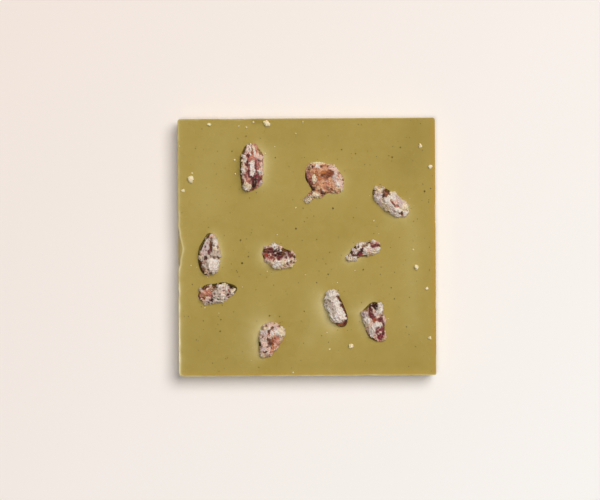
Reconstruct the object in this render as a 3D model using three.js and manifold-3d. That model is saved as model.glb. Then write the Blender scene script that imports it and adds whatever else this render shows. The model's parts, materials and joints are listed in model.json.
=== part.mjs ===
// A square tablet of pistachio-green white chocolate, cast in an open mould, with ten sugared
// nuts pressed into its poured face. It lies flat with the nuts up.
// Millimetres, +Z up. The origin is the middle of the flat underside; +X runs to the right and
// +Y away from the viewer when the nuts are seen from above.
import * as THREE from "three";
import { mergeVertices } from "three/addons/utils/BufferGeometryUtils.js";
import Module from "manifold-3d";

// ---------------------------------------------------------------- driving dimensions

const SIDE = 100; // the square's side, across the rim
const THICKNESS = 8; // from the underside to the poured face
const DRAFT = 0.7; // each side wall leans in by this much from rim to underside
const CORNER_RADIUS = 1.2; // the four upright corners
const FOOT_ROUND = 0.9; // rounding between a side wall and the underside
const LIP_HEIGHT = 0.3; // the chocolate creeps up the mould wall by this much
const LIP_WIDTH = 1.6; // and has fallen back to the poured level this far in
const WAVE_HEIGHT = 0.07; // slow unevenness of the poured face
const WAVE_LENGTH = 9; // and about a sixth of the distance from crest to crest
const COLLAR_WIDTH = 1.8; // the chocolate rises or sinks beside a nut over this distance

const NUT_GAP = 0.35; // clearance between a nut and its pocket
const CRAG_HEIGHT = 0.45; // roughness of the sugar crust, above the chocolate only
const CRAG_SIZE = 2.2; // width of one crag
const CRUST_FROM = -1.5; // the crust's relief fades in above this level, from the nut's middle
const CRUST_FULL = 0.5; // and is whole at this one
const TAPER_LOW = 0.4; // a tapering nut also gets lower, by this share of its narrowing
const NUT_FACETS = 4; // subdivision of a nut
const POCKET_FACETS = 3; // subdivision of the pocket that it lies in
const CROWDING = 0.35; // how strongly a nut's facets crowd towards its crusted top, 0 to 1

const FACE_LINES = 24; // evenly spaced lines of the poured face's net, each way
const RIM_LINES = [0.4, 1.1, 2.2]; // closer lines of the net, by distance in from the rim
const NET_MARGIN = 1.5; // the net runs this far past the rim before it is trimmed
const CORNER_FACETS = 5; // flats round an upright corner
const FOOT_FACETS = 3; // flats up the rounded foot

const CHOCOLATE = { color: 0xad9652, roughness: 0.42, metalness: 0 };
const SUGARED_NUT = { color: 0xcbb3a8, roughness: 0.85, metalness: 0 };

// The nuts. x, y: the middle. turn: degrees from +X to the end the nut points with. length,
// width, height: the bare kernel. ends: 1 is an ellipsoid, less is blunter, more is sharper.
// taper: how much it narrows towards the pointing end. lift: its middle above the poured face.
// collar: how far the chocolate beside it rises (+) or sinks (-). relief: [along, across,
// radius, height] of each lump (+) or hollow (-) in the crust, from the middle, across counted
// to the left of the pointing end. clots: [along, across, radius] of loose sugar at its side.
const NUTS = [
  {
    x: -21.0, y: 31.0, turn: 85, length: 18.4, width: 8.8, height: 7.4, ends: 0.8,
    taper: -0.06, lift: 0.0, collar: 0.35,
    relief: [[-7.2, 1.2, 2.3, 0.8], [0, 0.2, 2.2, 0.6], [3.5, 3.2, 1.8, 0.5],
      [7.2, -2.5, 1.8, -0.5], [-4.6, -1.6, 1.6, -0.5], [-5.2, -4.2, 1.7, 1.0], [8.0, 3.0, 1.6, 0.8]],
  },
  {
    x: 7.0, y: 26.5, turn: -14, length: 15.4, width: 11.2, height: 6.8, ends: 0.8,
    taper: 0.05, lift: -0.6, collar: 0.3,
    relief: [[0, 0.4, 2.8, -1.0], [-6.8, 3.4, 1.8, 1.3], [-2.2, 5.0, 1.6, 0.5],
      [2.4, 5.0, 1.8, 0.6], [6.6, -3.2, 1.8, 1.4], [6.0, 3.6, 1.8, -0.6], [-7.4, -0.2, 2.0, 0.6]],
    clots: [[-2.0, -5.8, 2.1], [-3.3, -7.5, 1.7], [-4.3, -9.3, 1.4], [0.3, -6.2, 1.5]],
  },
  {
    x: 32.6, y: 17.4, turn: -40, length: 16.2, width: 7.2, height: 6.6, ends: 0.85,
    taper: 0.04, lift: -0.3, collar: -0.25,
    relief: [[-3.2, 1.8, 1.8, -1.1], [-5.2, -1.3, 2.0, 0.5], [1.0, -0.4, 2.4, 0.5],
      [5.6, 1.4, 2.0, 0.6], [6.6, -1.6, 1.0, -0.7]],
  },
  {
    x: -37.9, y: -2.6, turn: 85, length: 16.6, width: 8.2, height: 7.0, ends: 1,
    taper: 0.28, lift: -0.2, collar: 0.25,
    relief: [[3.4, -0.1, 1.3, -0.9], [-3.8, -1.8, 2.2, 0.9], [1.4, 2.4, 1.8, 0.4],
      [2.6, -2.4, 1.6, 0.4], [-3.9, 3.3, 1.6, -0.6]],
  },
  {
    x: -35.3, y: -17.7, turn: 10, length: 15.2, width: 7.7, height: 6.8, ends: 0.85,
    taper: 0.2, lift: -0.5, collar: -0.2,
    relief: [[-2.7, -2.1, 1.1, -0.9], [-0.4, 2.9, 1.4, -0.6], [4.2, -1.4, 1.2, -0.6],
      [1.4, -1.0, 1.9, 0.5], [2.6, 2.1, 1.5, 0.5]],
  },
  {
    x: -10.9, y: -3.7, turn: -14, length: 13.4, width: 7.8, height: 6.6, ends: 0.9,
    taper: -0.02, lift: -0.2, collar: -0.25,
    relief: [[-0.3, 1.8, 1.6, -0.8], [-3.9, 0.2, 1.5, -0.6], [-2.5, 3.6, 1.4, 1.0],
      [0.2, -3.3, 1.8, 0.9], [4.9, -0.5, 1.9, 0.5], [-5.8, 1.8, 1.6, 0.9], [5.0, 2.6, 1.5, 0.5]],
  },
  {
    x: 22.1, y: -1.5, turn: 23, length: 13.8, width: 5.2, height: 5.6, ends: 0.9,
    taper: -0.08, lift: -0.7, collar: -0.3,
    relief: [[-1.4, -1.4, 1.3, -0.9], [-6.2, -0.8, 1.3, 0.6], [-1.4, 2.8, 1.7, 1.2],
      [4.0, -0.4, 1.9, 0.4]],
  },
  {
    x: 11.4, y: -24.4, turn: 114, length: 15.4, width: 6.8, height: 6.6, ends: 0.8,
    taper: -0.1, lift: -0.1, collar: -0.4,
    relief: [[1.4, -3.0, 1.6, -0.3], [-1.9, -2.9, 1.6, -0.3], [-6.8, -0.3, 1.4, -0.4],
      [4.6, 0.5, 2.2, 0.5], [-2.6, 0.6, 2.4, 0.6]],
  },
  {
    x: 26.4, y: -28.9, turn: 97, length: 15.2, width: 7.8, height: 7.0, ends: 1,
    taper: 0.1, lift: -0.2, collar: -0.3,
    relief: [[3.6, 3.4, 2.0, 2.0], [6.4, -2.8, 1.7, 1.8], [3.5, 0.6, 1.3, -0.9],
      [6.2, 0.4, 1.3, -1.0], [-2.8, -3.0, 1.8, -0.2], [-1.6, 0.8, 2.0, 0.5], [-7.0, -2.4, 1.8, 1.2]],
  },
  {
    x: -14.4, y: -36.1, turn: 68, length: 13.4, width: 8.4, height: 7.0, ends: 0.9,
    taper: -0.22, lift: -0.4, collar: -0.35,
    relief: [[-0.5, -0.6, 1.7, -0.9], [-1.8, -2.2, 1.5, -0.4], [4.6, -2.8, 2.0, 0.6],
      [0.3, 3.6, 1.9, 0.5], [-5.8, 1.3, 1.4, 0.4], [4.0, 4.0, 1.8, 0.9]],
  },
];

// Where the rim is broken. x, y: the middle of the break, on the rim. length: along the rim.
// depth: inwards. drop: downwards.
const CHIPS = [
  { x: -SIDE / 2, y: -2.1, length: 16.5, depth: 2.0, drop: 1.2 },
  { x: -28.5, y: SIDE / 2, length: 8.5, depth: 0.6, drop: 0.7 },
  { x: SIDE / 2, y: 13.2, length: 6.0, depth: 0.5, drop: 0.6 },
];

// The largest crumbs that lie on the chocolate: [x, y, width].
const CRUMBS = [
  [-15.3, 48.0, 2.4], [-45.0, 26.6, 2.4], [-37.6, 47.9, 1.2], [-48.0, 22.2, 1.2],
  [44.2, 39.1, 1.5], [48.0, 31.0, 1.3], [42.4, -8.1, 1.8], [46.3, -16.4, 1.2],
  [16.8, -38.4, 1.6], [47.4, -35.5, 1.1],
];
const CRUMB_SUNK = 0.3; // share of a crumb's width that lies below the poured face

// How far a broken face, a crumb and a clot of sugar depart from a ball, as a share.
const CHIP_UNEVEN = 0.1;
const CRUMB_UNEVEN = 0.2;
const CLOT_UNEVEN = 0.3;
const CLOT_FLAT = 0.75; // a clot's height as a share of its width

// ---------------------------------------------------------------- small helpers

const wasm = await Module();
wasm.setup();

// A three.js geometry as a solid that can be joined and cut.
function solidFrom(geometry) {
  const bare = geometry.clone();
  bare.deleteAttribute("normal");
  bare.deleteAttribute("uv");
  const merged = mergeVertices(bare, 1e-4);
  return new wasm.Manifold(
    new wasm.Mesh({
      numProp: 3,
      vertProperties: new Float32Array(merged.attributes.position.array),
      triVerts: new Uint32Array(merged.index.array),
    }),
  );
}

// A solid as a named three.js mesh.
function meshFrom(solid, name, finish) {
  const { vertProperties, triVerts } = solid.getMesh();
  const geometry = new THREE.BufferGeometry();
  geometry.setAttribute("position", new THREE.BufferAttribute(vertProperties, 3));
  geometry.setIndex(new THREE.BufferAttribute(triVerts, 1));
  geometry.computeVertexNormals();
  const mesh = new THREE.Mesh(geometry, new THREE.MeshStandardMaterial(finish));
  mesh.name = name;
  return mesh;
}

// Moves every vertex of a geometry by a function of its place, which changes the point given.
function reshape(geometry, move) {
  const places = geometry.attributes.position;
  const point = new THREE.Vector3();
  for (let i = 0; i < places.count; i += 1) {
    point.fromBufferAttribute(places, i);
    move(point);
    places.setXYZ(i, point.x, point.y, point.z);
  }
  return geometry;
}

// A repeatable number from 0 to 1 for each corner of a cubic lattice.
function latticeValue(i, j, k) {
  const wave = Math.sin(i * 127.1 + j * 311.7 + k * 74.7) * 43758.5453;
  return wave - Math.floor(wave);
}

// Smooth noise from 0 to 1, about one bump for each unit of length.
function noise(x, y, z) {
  const [i, j, k] = [Math.floor(x), Math.floor(y), Math.floor(z)];
  const ease = (t) => t * t * (3 - 2 * t);
  const [u, v, w] = [ease(x - i), ease(y - j), ease(z - k)];
  let sum = 0;
  for (const [a, share] of [[0, 1 - u], [1, u]]) {
    for (const [b, part] of [[0, 1 - v], [1, v]]) {
      for (const [c, rest] of [[0, 1 - w], [1, w]]) {
        sum += share * part * rest * latticeValue(i + a, j + b, k + c);
      }
    }
  }
  return sum;
}

// Makes a ball uneven: its points move in or out by up to this share of its radius. bumps is
// how often the surface changes over one unit of length.
function uneven(ball, share, bumps, shift) {
  return reshape(ball, (p) => {
    const bump = noise(p.x * bumps + shift, p.y * bumps - shift, p.z * bumps);
    p.multiplyScalar(1 + share * (2 * bump - 1));
  });
}

// ---------------------------------------------------------------- the poured face

// A place on the poured face as seen from a nut: millimetres along and across it.
function fromNut(nut, x, y) {
  const turn = THREE.MathUtils.degToRad(nut.turn);
  const [dx, dy] = [x - nut.x, y - nut.y];
  return {
    along: dx * Math.cos(turn) + dy * Math.sin(turn),
    across: dy * Math.cos(turn) - dx * Math.sin(turn),
  };
}

// How far the chocolate rises or sinks at this place because of one nut.
function collar(nut, x, y) {
  const { along, across } = fromNut(nut, x, y);
  const reach = Math.hypot(along / (nut.length / 2), across / (nut.width / 2));
  const outside = Math.max(0, reach - 1) * (nut.width / 2);
  return nut.collar * Math.exp(-((outside / COLLAR_WIDTH) ** 2));
}

// Slow waves left by tapping the mould.
function wave(x, y) {
  const [u, v] = [x / WAVE_LENGTH, y / WAVE_LENGTH];
  return WAVE_HEIGHT * (Math.sin(u + Math.sin(v / 2)) + Math.cos(v - u / 3));
}

// Height of the chocolate at a place, counted from the underside.
function pouredHeight(x, y) {
  const inwards = Math.max(0, SIDE / 2 - Math.max(Math.abs(x), Math.abs(y)));
  const lip = LIP_HEIGHT * Math.exp(-((inwards / LIP_WIDTH) ** 2));
  const beside = NUTS.reduce((sum, nut) => sum + collar(nut, x, y), 0);
  return THICKNESS + lip + wave(x, y) + beside;
}

// The net's line number i, from 0 to netCells, as a coordinate.
const netCells = FACE_LINES + 2 * RIM_LINES.length;
function netLine(i) {
  const fromNear = Math.min(i, netCells - i);
  const sign = i * 2 < netCells ? -1 : 1;
  if (fromNear === 0) return sign * (SIDE / 2 + NET_MARGIN);
  if (fromNear <= RIM_LINES.length) return sign * (SIDE / 2 - RIM_LINES[fromNear - 1]);
  const innermost = SIDE / 2 - RIM_LINES[RIM_LINES.length - 1];
  const share = (i - RIM_LINES.length) / FACE_LINES;
  return innermost * (2 * share - 1);
}

// A block whose top is the poured face. Its sides and bottom are trimmed away.
function pouredBlock() {
  const block = new THREE.BoxGeometry(netCells, netCells, 2, netCells, netCells, 1);
  return reshape(block, (p) => {
    const x = netLine(Math.round(p.x + netCells / 2));
    const y = netLine(Math.round(p.y + netCells / 2));
    p.set(x, y, p.z > 0 ? pouredHeight(x, y) : -NET_MARGIN);
  });
}

// ---------------------------------------------------------------- the slab

// What the mould gives: a square with rounded corners, drafted walls and a rounded foot. Its
// top, with the bevel that ExtrudeGeometry gives it, lies above the poured face.
function mouldedBlock() {
  const half = SIDE / 2;
  const inner = half - CORNER_RADIUS;
  const outline = new THREE.Shape();
  outline.absarc(inner, inner, CORNER_RADIUS, 0, Math.PI / 2);
  outline.absarc(-inner, inner, CORNER_RADIUS, Math.PI / 2, Math.PI);
  outline.absarc(-inner, -inner, CORNER_RADIUS, Math.PI, 1.5 * Math.PI);
  outline.absarc(inner, -inner, CORNER_RADIUS, 1.5 * Math.PI, 2 * Math.PI);
  outline.closePath();
  const block = new THREE.ExtrudeGeometry(outline, {
    depth: THICKNESS,
    curveSegments: CORNER_FACETS,
    bevelThickness: FOOT_ROUND,
    bevelSize: FOOT_ROUND,
    bevelOffset: -FOOT_ROUND,
    bevelSegments: FOOT_FACETS,
  }).translate(0, 0, FOOT_ROUND);
  const rim = THICKNESS + LIP_HEIGHT;
  return reshape(block, (p) => {
    const lean = 1 + (DRAFT / half) * (p.z / rim - 1);
    p.set(p.x * lean, p.y * lean, p.z);
  });
}

// The hollow that a broken piece of rim leaves: part of a squashed, uneven ball.
function chipCutter(chip) {
  const onSideWall = Math.abs(chip.x) > Math.abs(chip.y);
  const [across, along] = [chip.depth, chip.length / 2];
  return uneven(new THREE.SphereGeometry(1, 20, 12), CHIP_UNEVEN, 2, chip.y)
    .scale(onSideWall ? across : along, onSideWall ? along : across, chip.drop)
    .translate(chip.x, chip.y, THICKNESS + LIP_HEIGHT);
}

// A crumb: an uneven little stone, partly sunk in the poured face.
function crumb([x, y, width]) {
  const stone = uneven(new THREE.IcosahedronGeometry(width / 2, 0), CRUMB_UNEVEN, 3, x);
  return stone.translate(x, y, pouredHeight(x, y) + width * (0.5 - CRUMB_SUNK));
}

// ---------------------------------------------------------------- the nuts

// Height of the crust over the bare kernel at one place: its lumps and hollows, and its crags.
function crust(nut, along, across, up) {
  const showing = THREE.MathUtils.smoothstep(up, CRUST_FROM, CRUST_FULL);
  const relief = nut.relief.reduce((sum, [a, c, radius, height]) => {
    const away = Math.hypot(along - a, across - c) / radius;
    return sum + height * Math.exp(-away * away);
  }, 0);
  const bump = noise((nut.x + along) / CRAG_SIZE, (nut.y + across) / CRAG_SIZE, up / CRAG_SIZE);
  return showing * (relief + CRAG_HEIGHT * (2 * bump - 1));
}

// Slides the points of a unit sphere towards its top, so that the facets there are smaller.
function crowdUpwards(p) {
  const pull = 1 + CROWDING * p.z;
  const narrowed = Math.sqrt(1 - CROWDING ** 2) / pull;
  p.set(p.x * narrowed, p.y * narrowed, (p.z + CROWDING) / pull);
}

// One nut in its own frame: a blunt kernel that narrows to one end, with the crust on it.
// swell moves the whole surface outwards, for the pocket.
function nutBody(nut, facets, swell) {
  const half = new THREE.Vector3(nut.length, nut.width, nut.height).multiplyScalar(0.5);
  const normal = new THREE.Vector3();
  return reshape(new THREE.IcosahedronGeometry(1, facets), (p) => {
    crowdUpwards(p);
    normal.copy(p).divide(half).normalize();
    const toEnd = Math.sign(p.x) * Math.abs(p.x) ** nut.ends;
    const slim = 1 - nut.taper * toEnd;
    const low = 1 - TAPER_LOW * nut.taper * toEnd;
    p.set(toEnd * half.x, p.y * half.y * slim, p.z * half.z * low);
    p.addScaledVector(normal, crust(nut, p.x, p.y, p.z) + swell);
  });
}

// A nut with the clots that stick to it, where it lies in the chocolate.
function nutSolid(nut, facets, swell) {
  const place = new THREE.Matrix4()
    .makeRotationZ(THREE.MathUtils.degToRad(nut.turn))
    .setPosition(nut.x, nut.y, THICKNESS + nut.lift);
  let solid = solidFrom(nutBody(nut, facets, swell).applyMatrix4(place));
  for (const [along, across, radius] of nut.clots ?? []) {
    const clot = uneven(new THREE.IcosahedronGeometry(radius, 1), CLOT_UNEVEN, 1, across)
      .scale(1 + swell / radius, 1 + swell / radius, CLOT_FLAT + swell / radius)
      .translate(along, across, -nut.lift)
      .applyMatrix4(place);
    solid = solid.add(solidFrom(clot));
  }
  return solid;
}

// ---------------------------------------------------------------- the whole tablet

function slabSolid() {
  let slab = solidFrom(mouldedBlock()).intersect(solidFrom(pouredBlock()));
  for (const chip of CHIPS) slab = slab.subtract(solidFrom(chipCutter(chip)));
  for (const place of CRUMBS) slab = slab.add(solidFrom(crumb(place)));
  for (const nut of NUTS) slab = slab.subtract(nutSolid(nut, POCKET_FACETS, NUT_GAP));
  return slab;
}

const tablet = new THREE.Group();
tablet.add(meshFrom(slabSolid(), "chocolate_slab", CHOCOLATE));
NUTS.forEach((nut, index) => {
  const name = `sugared_nut_${String(index + 1).padStart(2, "0")}`;
  tablet.add(meshFrom(nutSolid(nut, NUT_FACETS, 0), name, SUGARED_NUT));
});

export default tablet;
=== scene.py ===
# %% [markdown]
# # A green white-chocolate tablet with sugared nuts
# This lesson dresses a square tablet of white chocolate, tinted olive green by ground pistachio.
# Ten nuts in a crust of sugar are pressed into its poured face. The solids that give its true
# size are loaded first and never moved: each new piece is built over the solid it stands for.

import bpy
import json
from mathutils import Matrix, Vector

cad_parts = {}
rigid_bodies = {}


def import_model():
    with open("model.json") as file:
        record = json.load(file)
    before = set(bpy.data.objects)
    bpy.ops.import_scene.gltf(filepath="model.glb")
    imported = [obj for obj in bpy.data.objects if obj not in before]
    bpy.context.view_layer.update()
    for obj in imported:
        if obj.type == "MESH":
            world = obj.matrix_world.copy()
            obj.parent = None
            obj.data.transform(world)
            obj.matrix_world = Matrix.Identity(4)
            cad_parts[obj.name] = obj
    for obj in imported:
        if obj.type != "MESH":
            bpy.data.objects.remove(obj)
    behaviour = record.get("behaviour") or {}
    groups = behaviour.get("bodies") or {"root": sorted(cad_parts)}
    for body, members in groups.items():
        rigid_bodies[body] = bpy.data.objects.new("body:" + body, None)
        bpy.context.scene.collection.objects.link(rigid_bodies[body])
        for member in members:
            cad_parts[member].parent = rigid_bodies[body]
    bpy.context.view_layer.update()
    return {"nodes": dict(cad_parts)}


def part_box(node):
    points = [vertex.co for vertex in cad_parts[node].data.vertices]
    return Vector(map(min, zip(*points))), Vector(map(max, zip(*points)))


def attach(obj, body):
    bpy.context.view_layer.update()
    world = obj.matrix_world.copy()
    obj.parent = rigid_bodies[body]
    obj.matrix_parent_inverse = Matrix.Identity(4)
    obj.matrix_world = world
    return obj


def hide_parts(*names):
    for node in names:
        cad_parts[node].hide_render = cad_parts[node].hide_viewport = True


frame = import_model()
print("solids:", sorted(frame["nodes"]))

# %% [markdown]
# Blender counts in metres, but chocolate is measured in millimetres, so the sizes below are
# given in millimetres and multiplied by MM where Blender needs them. The side of the tablet is
# read from its solid. The level of the poured face can't be read from a box, because crumbs
# stand on it, so it is named here.

# %% Units and main sizes
import json
import math
import random

import bmesh
import bpy
import numpy as np
from mathutils import Euler, Vector, noise
from mathutils.bvhtree import BVHTree
from mathutils.kdtree import KDTree

MM = 0.001
slab_low, slab_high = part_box("chocolate_slab")
SIDE = (slab_high.x - slab_low.x) / MM
FACE = 8.0  # height of the poured face
LIP = 0.3  # how far the rim stands above it
NUTS = sorted(name for name in frame["nodes"] if name.startswith("sugared_nut"))
print(f"side {SIDE:.2f} mm, {len(NUTS)} nuts")

# %% [markdown]
# The photograph looks straight down, so the camera hangs over the tablet with a long lens. Its
# lens length follows from how wide the tablet is in the picture. The tablet lies a little off
# the middle of the picture and is turned by a third of a degree, so the camera is shifted and
# rolled instead, and the tablet stays square in its own frame.

# %% Camera
PICTURE_WIDTH = 600
PICTURE_HEIGHT = 500
TABLET_MIDDLE = (306.96, 247.08)  # pixels from the picture's top left corner
TABLET_WIDTH = 257.6  # pixels from rim to rim
TABLET_TURN = 0.34  # degrees, anticlockwise in the picture
CAMERA_DISTANCE = 1.1  # metres from lens to rim
SENSOR_WIDTH = 36.0

mm_per_pixel = SIDE / TABLET_WIDTH
shift_right = (PICTURE_WIDTH / 2 - TABLET_MIDDLE[0]) * mm_per_pixel
shift_up = (TABLET_MIDDLE[1] - PICTURE_HEIGHT / 2) * mm_per_pixel
roll = Euler((0, 0, math.radians(-TABLET_TURN)))
offset = Vector((shift_right, shift_up, 0))
offset.rotate(roll)
height = CAMERA_DISTANCE + (FACE + LIP) * MM

bpy.ops.object.select_all(action="DESELECT")
bpy.ops.object.camera_add(location=(offset.x * MM, offset.y * MM, height), rotation=roll)
camera = bpy.context.object
camera.name = "camera_from_above"
camera.data.sensor_width = SENSOR_WIDTH
camera.data.lens = SENSOR_WIDTH * CAMERA_DISTANCE / (PICTURE_WIDTH * mm_per_pixel * MM)
camera.data.clip_end = 20
bpy.context.scene.camera = camera
print(f"lens {camera.data.lens:.1f} mm")

# %% [markdown]
# Everything below is modelled with the same operators as by hand. An operator works on all that
# is selected, so these helpers select exactly one piece, or the points of a piece that pass a
# test, before each step.

# %% Small helpers
MERGE_WITHIN = 0.01  # millimetres
LEAST_WEIGHT = 0.004  # what is painted more faintly is left out


def edit_mode():
    bpy.ops.object.mode_set(mode="EDIT")


def object_mode():
    if bpy.context.object and bpy.context.object.mode != "OBJECT":
        bpy.ops.object.mode_set(mode="OBJECT")


def only(piece):
    """Leaves edit mode and selects this piece alone."""
    object_mode()
    bpy.ops.object.select_all(action="DESELECT")
    piece.select_set(True)
    bpy.context.view_layer.objects.active = piece


def settle(piece):
    """Moves a piece's place and turn into its mesh, so that it stands at the origin."""
    only(piece)
    bpy.ops.object.transform_apply(location=True, rotation=True, scale=True)


def direction(degrees):
    """One step in this direction on the face."""
    return np.array([math.cos(math.radians(degrees)), math.sin(math.radians(degrees))])


def places(piece):
    """The places of a piece's points, in millimetres, one row each."""
    flat = np.empty(len(piece.data.vertices) * 3)
    piece.data.vertices.foreach_get("co", flat)
    return flat.reshape(-1, 3) / MM


def pick(piece, wanted):
    """Enters edit mode with only these points selected."""
    only(piece)
    edit_mode()
    bpy.ops.mesh.select_mode(type="VERT")
    bpy.ops.mesh.select_all(action="DESELECT")
    object_mode()
    piece.data.vertices.foreach_set("select", wanted)
    edit_mode()


def pull(piece, wanted, move, reach, falloff="SMOOTH"):
    """Moves these points, and those within reach of them by less and less."""
    pick(piece, wanted)
    bpy.ops.transform.translate(
        value=Vector(move) * MM,
        use_proportional_edit=True,
        proportional_edit_falloff=falloff,
        proportional_size=reach * MM,
    )
    object_mode()


def modify(piece, kind, **settings):
    """Adds one modifier to a piece, sets it and applies it."""
    only(piece)
    step = piece.modifiers.new(kind.lower(), kind)
    for name, value in settings.items():
        setattr(step, name, value)
    bpy.ops.object.modifier_apply(modifier=step.name)


def relief(piece, texture, height, **settings):
    """Pushes a piece's surface in and out by a texture, half of the height each way."""
    modify(piece, "DISPLACE", texture=texture, texture_coords="LOCAL", strength=height * MM,
           mid_level=0.5, **settings)


def clouds(name, size, detail=2):
    """A cloudy texture for relief, about this many millimetres from bump to bump."""
    texture = bpy.data.textures.new(name, "CLOUDS")
    texture.noise_scale = size * MM
    texture.noise_depth = detail
    return texture


def paint_group(piece, name, weights):
    """A vertex group that holds one weight from 0 to 1 for each point."""
    group = piece.vertex_groups.new(name=name)
    for index in np.nonzero(weights > LEAST_WEIGHT)[0]:
        group.add([int(index)], float(weights[index]), "REPLACE")


def paint_values(piece, name, values):
    """Stores one number for each point, which a material can read."""
    layer = piece.data.attributes.new(name, "FLOAT", "POINT")
    layer.data.foreach_set("value", np.asarray(values, dtype=np.float32))


def paint_colours(piece, name, colours):
    """Stores one colour for each point, which a material can read."""
    layer = piece.data.attributes.new(name, "FLOAT_COLOR", "POINT")
    solid = np.ones((len(colours), 4), dtype=np.float32)
    solid[:, :3] = colours
    layer.data.foreach_set("color", solid.ravel())


def copy_of(node, name):
    """A copy of a solid's mesh as a piece of its own, its loose triangles merged."""
    piece = bpy.data.objects.new(name, frame["nodes"][node].data.copy())
    bpy.context.collection.objects.link(piece)
    piece.data.materials.clear()
    only(piece)
    edit_mode()
    bpy.ops.mesh.select_all(action="SELECT")
    bpy.ops.mesh.remove_doubles(threshold=MERGE_WITHIN * MM)
    object_mode()
    return piece


def triangles(piece):
    return sum(len(face.vertices) - 2 for face in piece.data.polygons)


# %% [markdown]
# ## Materials
# Colours are given as they look on a screen, from 0 to 255, and turned into the light values
# that a shader takes.

# %% Material helpers
def colour(red, green, blue):
    """A screen colour as the light values that a shader takes."""
    def light(level):
        share = level / 255
        return share / 12.92 if share <= 0.04045 else ((share + 0.055) / 1.055) ** 2.4
    return (light(red), light(green), light(blue), 1.0)


def add_node(tree, kind, inputs=(), **settings):
    """Adds a node to a tree, sets its fields and inputs, and links what is given."""
    node = tree.nodes.new(kind)
    for name, value in settings.items():
        setattr(node, name, value)
    for socket, value in dict(inputs).items():
        if isinstance(value, bpy.types.NodeSocket):
            tree.links.new(value, node.inputs[socket])
        else:
            node.inputs[socket].default_value = value
    return node


class Finish:
    """A material whose nodes are added and linked one line at a time."""

    def __init__(self, name, **shader):
        self.material = bpy.data.materials.new(name)
        self.material.use_nodes = True
        self.tree = self.material.node_tree
        self.shader = self.tree.nodes["Principled BSDF"]
        for socket, value in shader.items():
            self.shader.inputs[socket.replace("_", " ")].default_value = value
        self.place = self.add("ShaderNodeTexCoord").outputs["Object"]

    def add(self, kind, inputs=(), **settings):
        return add_node(self.tree, kind, inputs, **settings)

    def painted(self, name, output="Fac"):
        """A value or a colour that is painted on the mesh."""
        return self.add("ShaderNodeAttribute", attribute_name=name).outputs[output]

    def noise(self, size, detail=3.0, roughness=0.5, place=None):
        """Cloudy noise from 0 to 1, about this many millimetres from bump to bump."""
        inputs = {"Vector": place or self.place, "Scale": 1 / (size * MM), "Detail": detail,
                  "Roughness": roughness}
        return self.add("ShaderNodeTexNoise", inputs).outputs["Fac"]

    def between(self, value, low, high, to_low=0.0, to_high=1.0):
        """Stretches the part of a value between low and high."""
        inputs = {"Value": value, "From Min": low, "From Max": high, "To Min": to_low,
                  "To Max": to_high}
        return self.add("ShaderNodeMapRange", inputs, clamp=True).outputs["Result"]

    def math(self, operation, first, second=0.0):
        return self.add("ShaderNodeMath", {0: first, 1: second}, operation=operation).outputs[0]

    def mix(self, share, first, second, blend="MIX"):
        """Mixes two colours."""
        inputs = {0: share, 6: first, 7: second}
        return self.add("ShaderNodeMix", inputs, data_type="RGBA", blend_type=blend).outputs[2]

    def bump(self, height, depth, after=None):
        """Roughens the surface by a height from 0 to 1 that stands for so many millimetres."""
        inputs = {"Height": height, "Distance": depth * MM, "Strength": 1.0}
        if after:
            inputs["Normal"] = after
        return self.add("ShaderNodeBump", inputs).outputs["Normal"]

    def finish(self, **links):
        """Links the finished values to the shader."""
        for socket, value in links.items():
            self.tree.links.new(value, self.shader.inputs[socket.replace("_", " ")])
        return self.material


# %% [markdown]
# ### Chocolate
# The poured face is olive green with slow, faint blotches, where the cocoa butter set at
# different speeds. Its sheen is satin and a little uneven. Light goes a short way into it, which
# softens its edges. Three values painted on the slab further down change its colour: at the very
# rim a golden painted glow, where light shines through the thin chocolate; on the face painted
# highlights and sheen; and darker patches that are partly painted shade and shadow.

# %% Chocolate finish
OLIVE = colour(176, 153, 80)
OLIVE_DARK = colour(169, 146, 72)
OLIVE_LIGHT = colour(183, 161, 90)
# The golden glow that light shining through the thin rim gives it is painted in this colour.
RIM_GLOW_COLOUR = colour(190, 152, 66)
# Painted highlights and painted sheen on the face take this colour.
PAINTED_HIGHLIGHT_COLOUR = colour(220, 206, 150)
# Darker patches, partly painted shade and shadow, take this colour.
DARK_PATCH_AND_SHADE_COLOUR = colour(138, 116, 48)

chocolate = Finish(
    "green_white_chocolate", Subsurface_Weight=0.12, Subsurface_Scale=0.0012,
    Subsurface_Radius=(1.0, 0.75, 0.3), Specular_IOR_Level=0.5,
)
blotches = chocolate.between(chocolate.noise(24, detail=2.0), 0.3, 0.7)
mottle = chocolate.between(chocolate.noise(3.2, detail=4.0), 0.35, 0.65)
body = chocolate.mix(blotches, OLIVE_DARK, OLIVE)
body = chocolate.mix(chocolate.math("MULTIPLY", mottle, 0.28), body, OLIVE_LIGHT)
for name, zone in (("painted_rim_glow", RIM_GLOW_COLOUR), ("painted_highlight", PAINTED_HIGHLIGHT_COLOUR), ("dark_patches_and_shade", DARK_PATCH_AND_SHADE_COLOUR)):
    body = chocolate.mix(chocolate.painted(name), body, zone)

surface = chocolate.bump(chocolate.noise(2.4, detail=2.0), 0.02)
surface = chocolate.bump(chocolate.noise(0.35, detail=2.0), 0.006, after=surface)
sheen = chocolate.between(chocolate.noise(11, detail=3.0), 0.3, 0.7, 0.23, 0.3)
chocolate_finish = chocolate.finish(Base_Color=body, Normal=surface, Roughness=sheen)

# %% [markdown]
# ### Sugar crust
# The crust is made of small sugar crystals, stained by the skin under it. Its colour is painted
# on the mesh as "sugar_tint", and the thickness measured there is "sugar_depth", in millimetres.
# Here it is made uneven: rosier where it is thin, with pores darkened by painted shade and bright
# crystals. These follow "nut_place", which runs along the nut, so that they are a little longer
# than wide.

# %% Sugar finish
ROSY = colour(214, 172, 158)
# Painted shade in the pores of the crust.
PORE_SHADE = colour(222, 204, 188)
CRYSTAL = colour(240, 230, 216)


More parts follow.
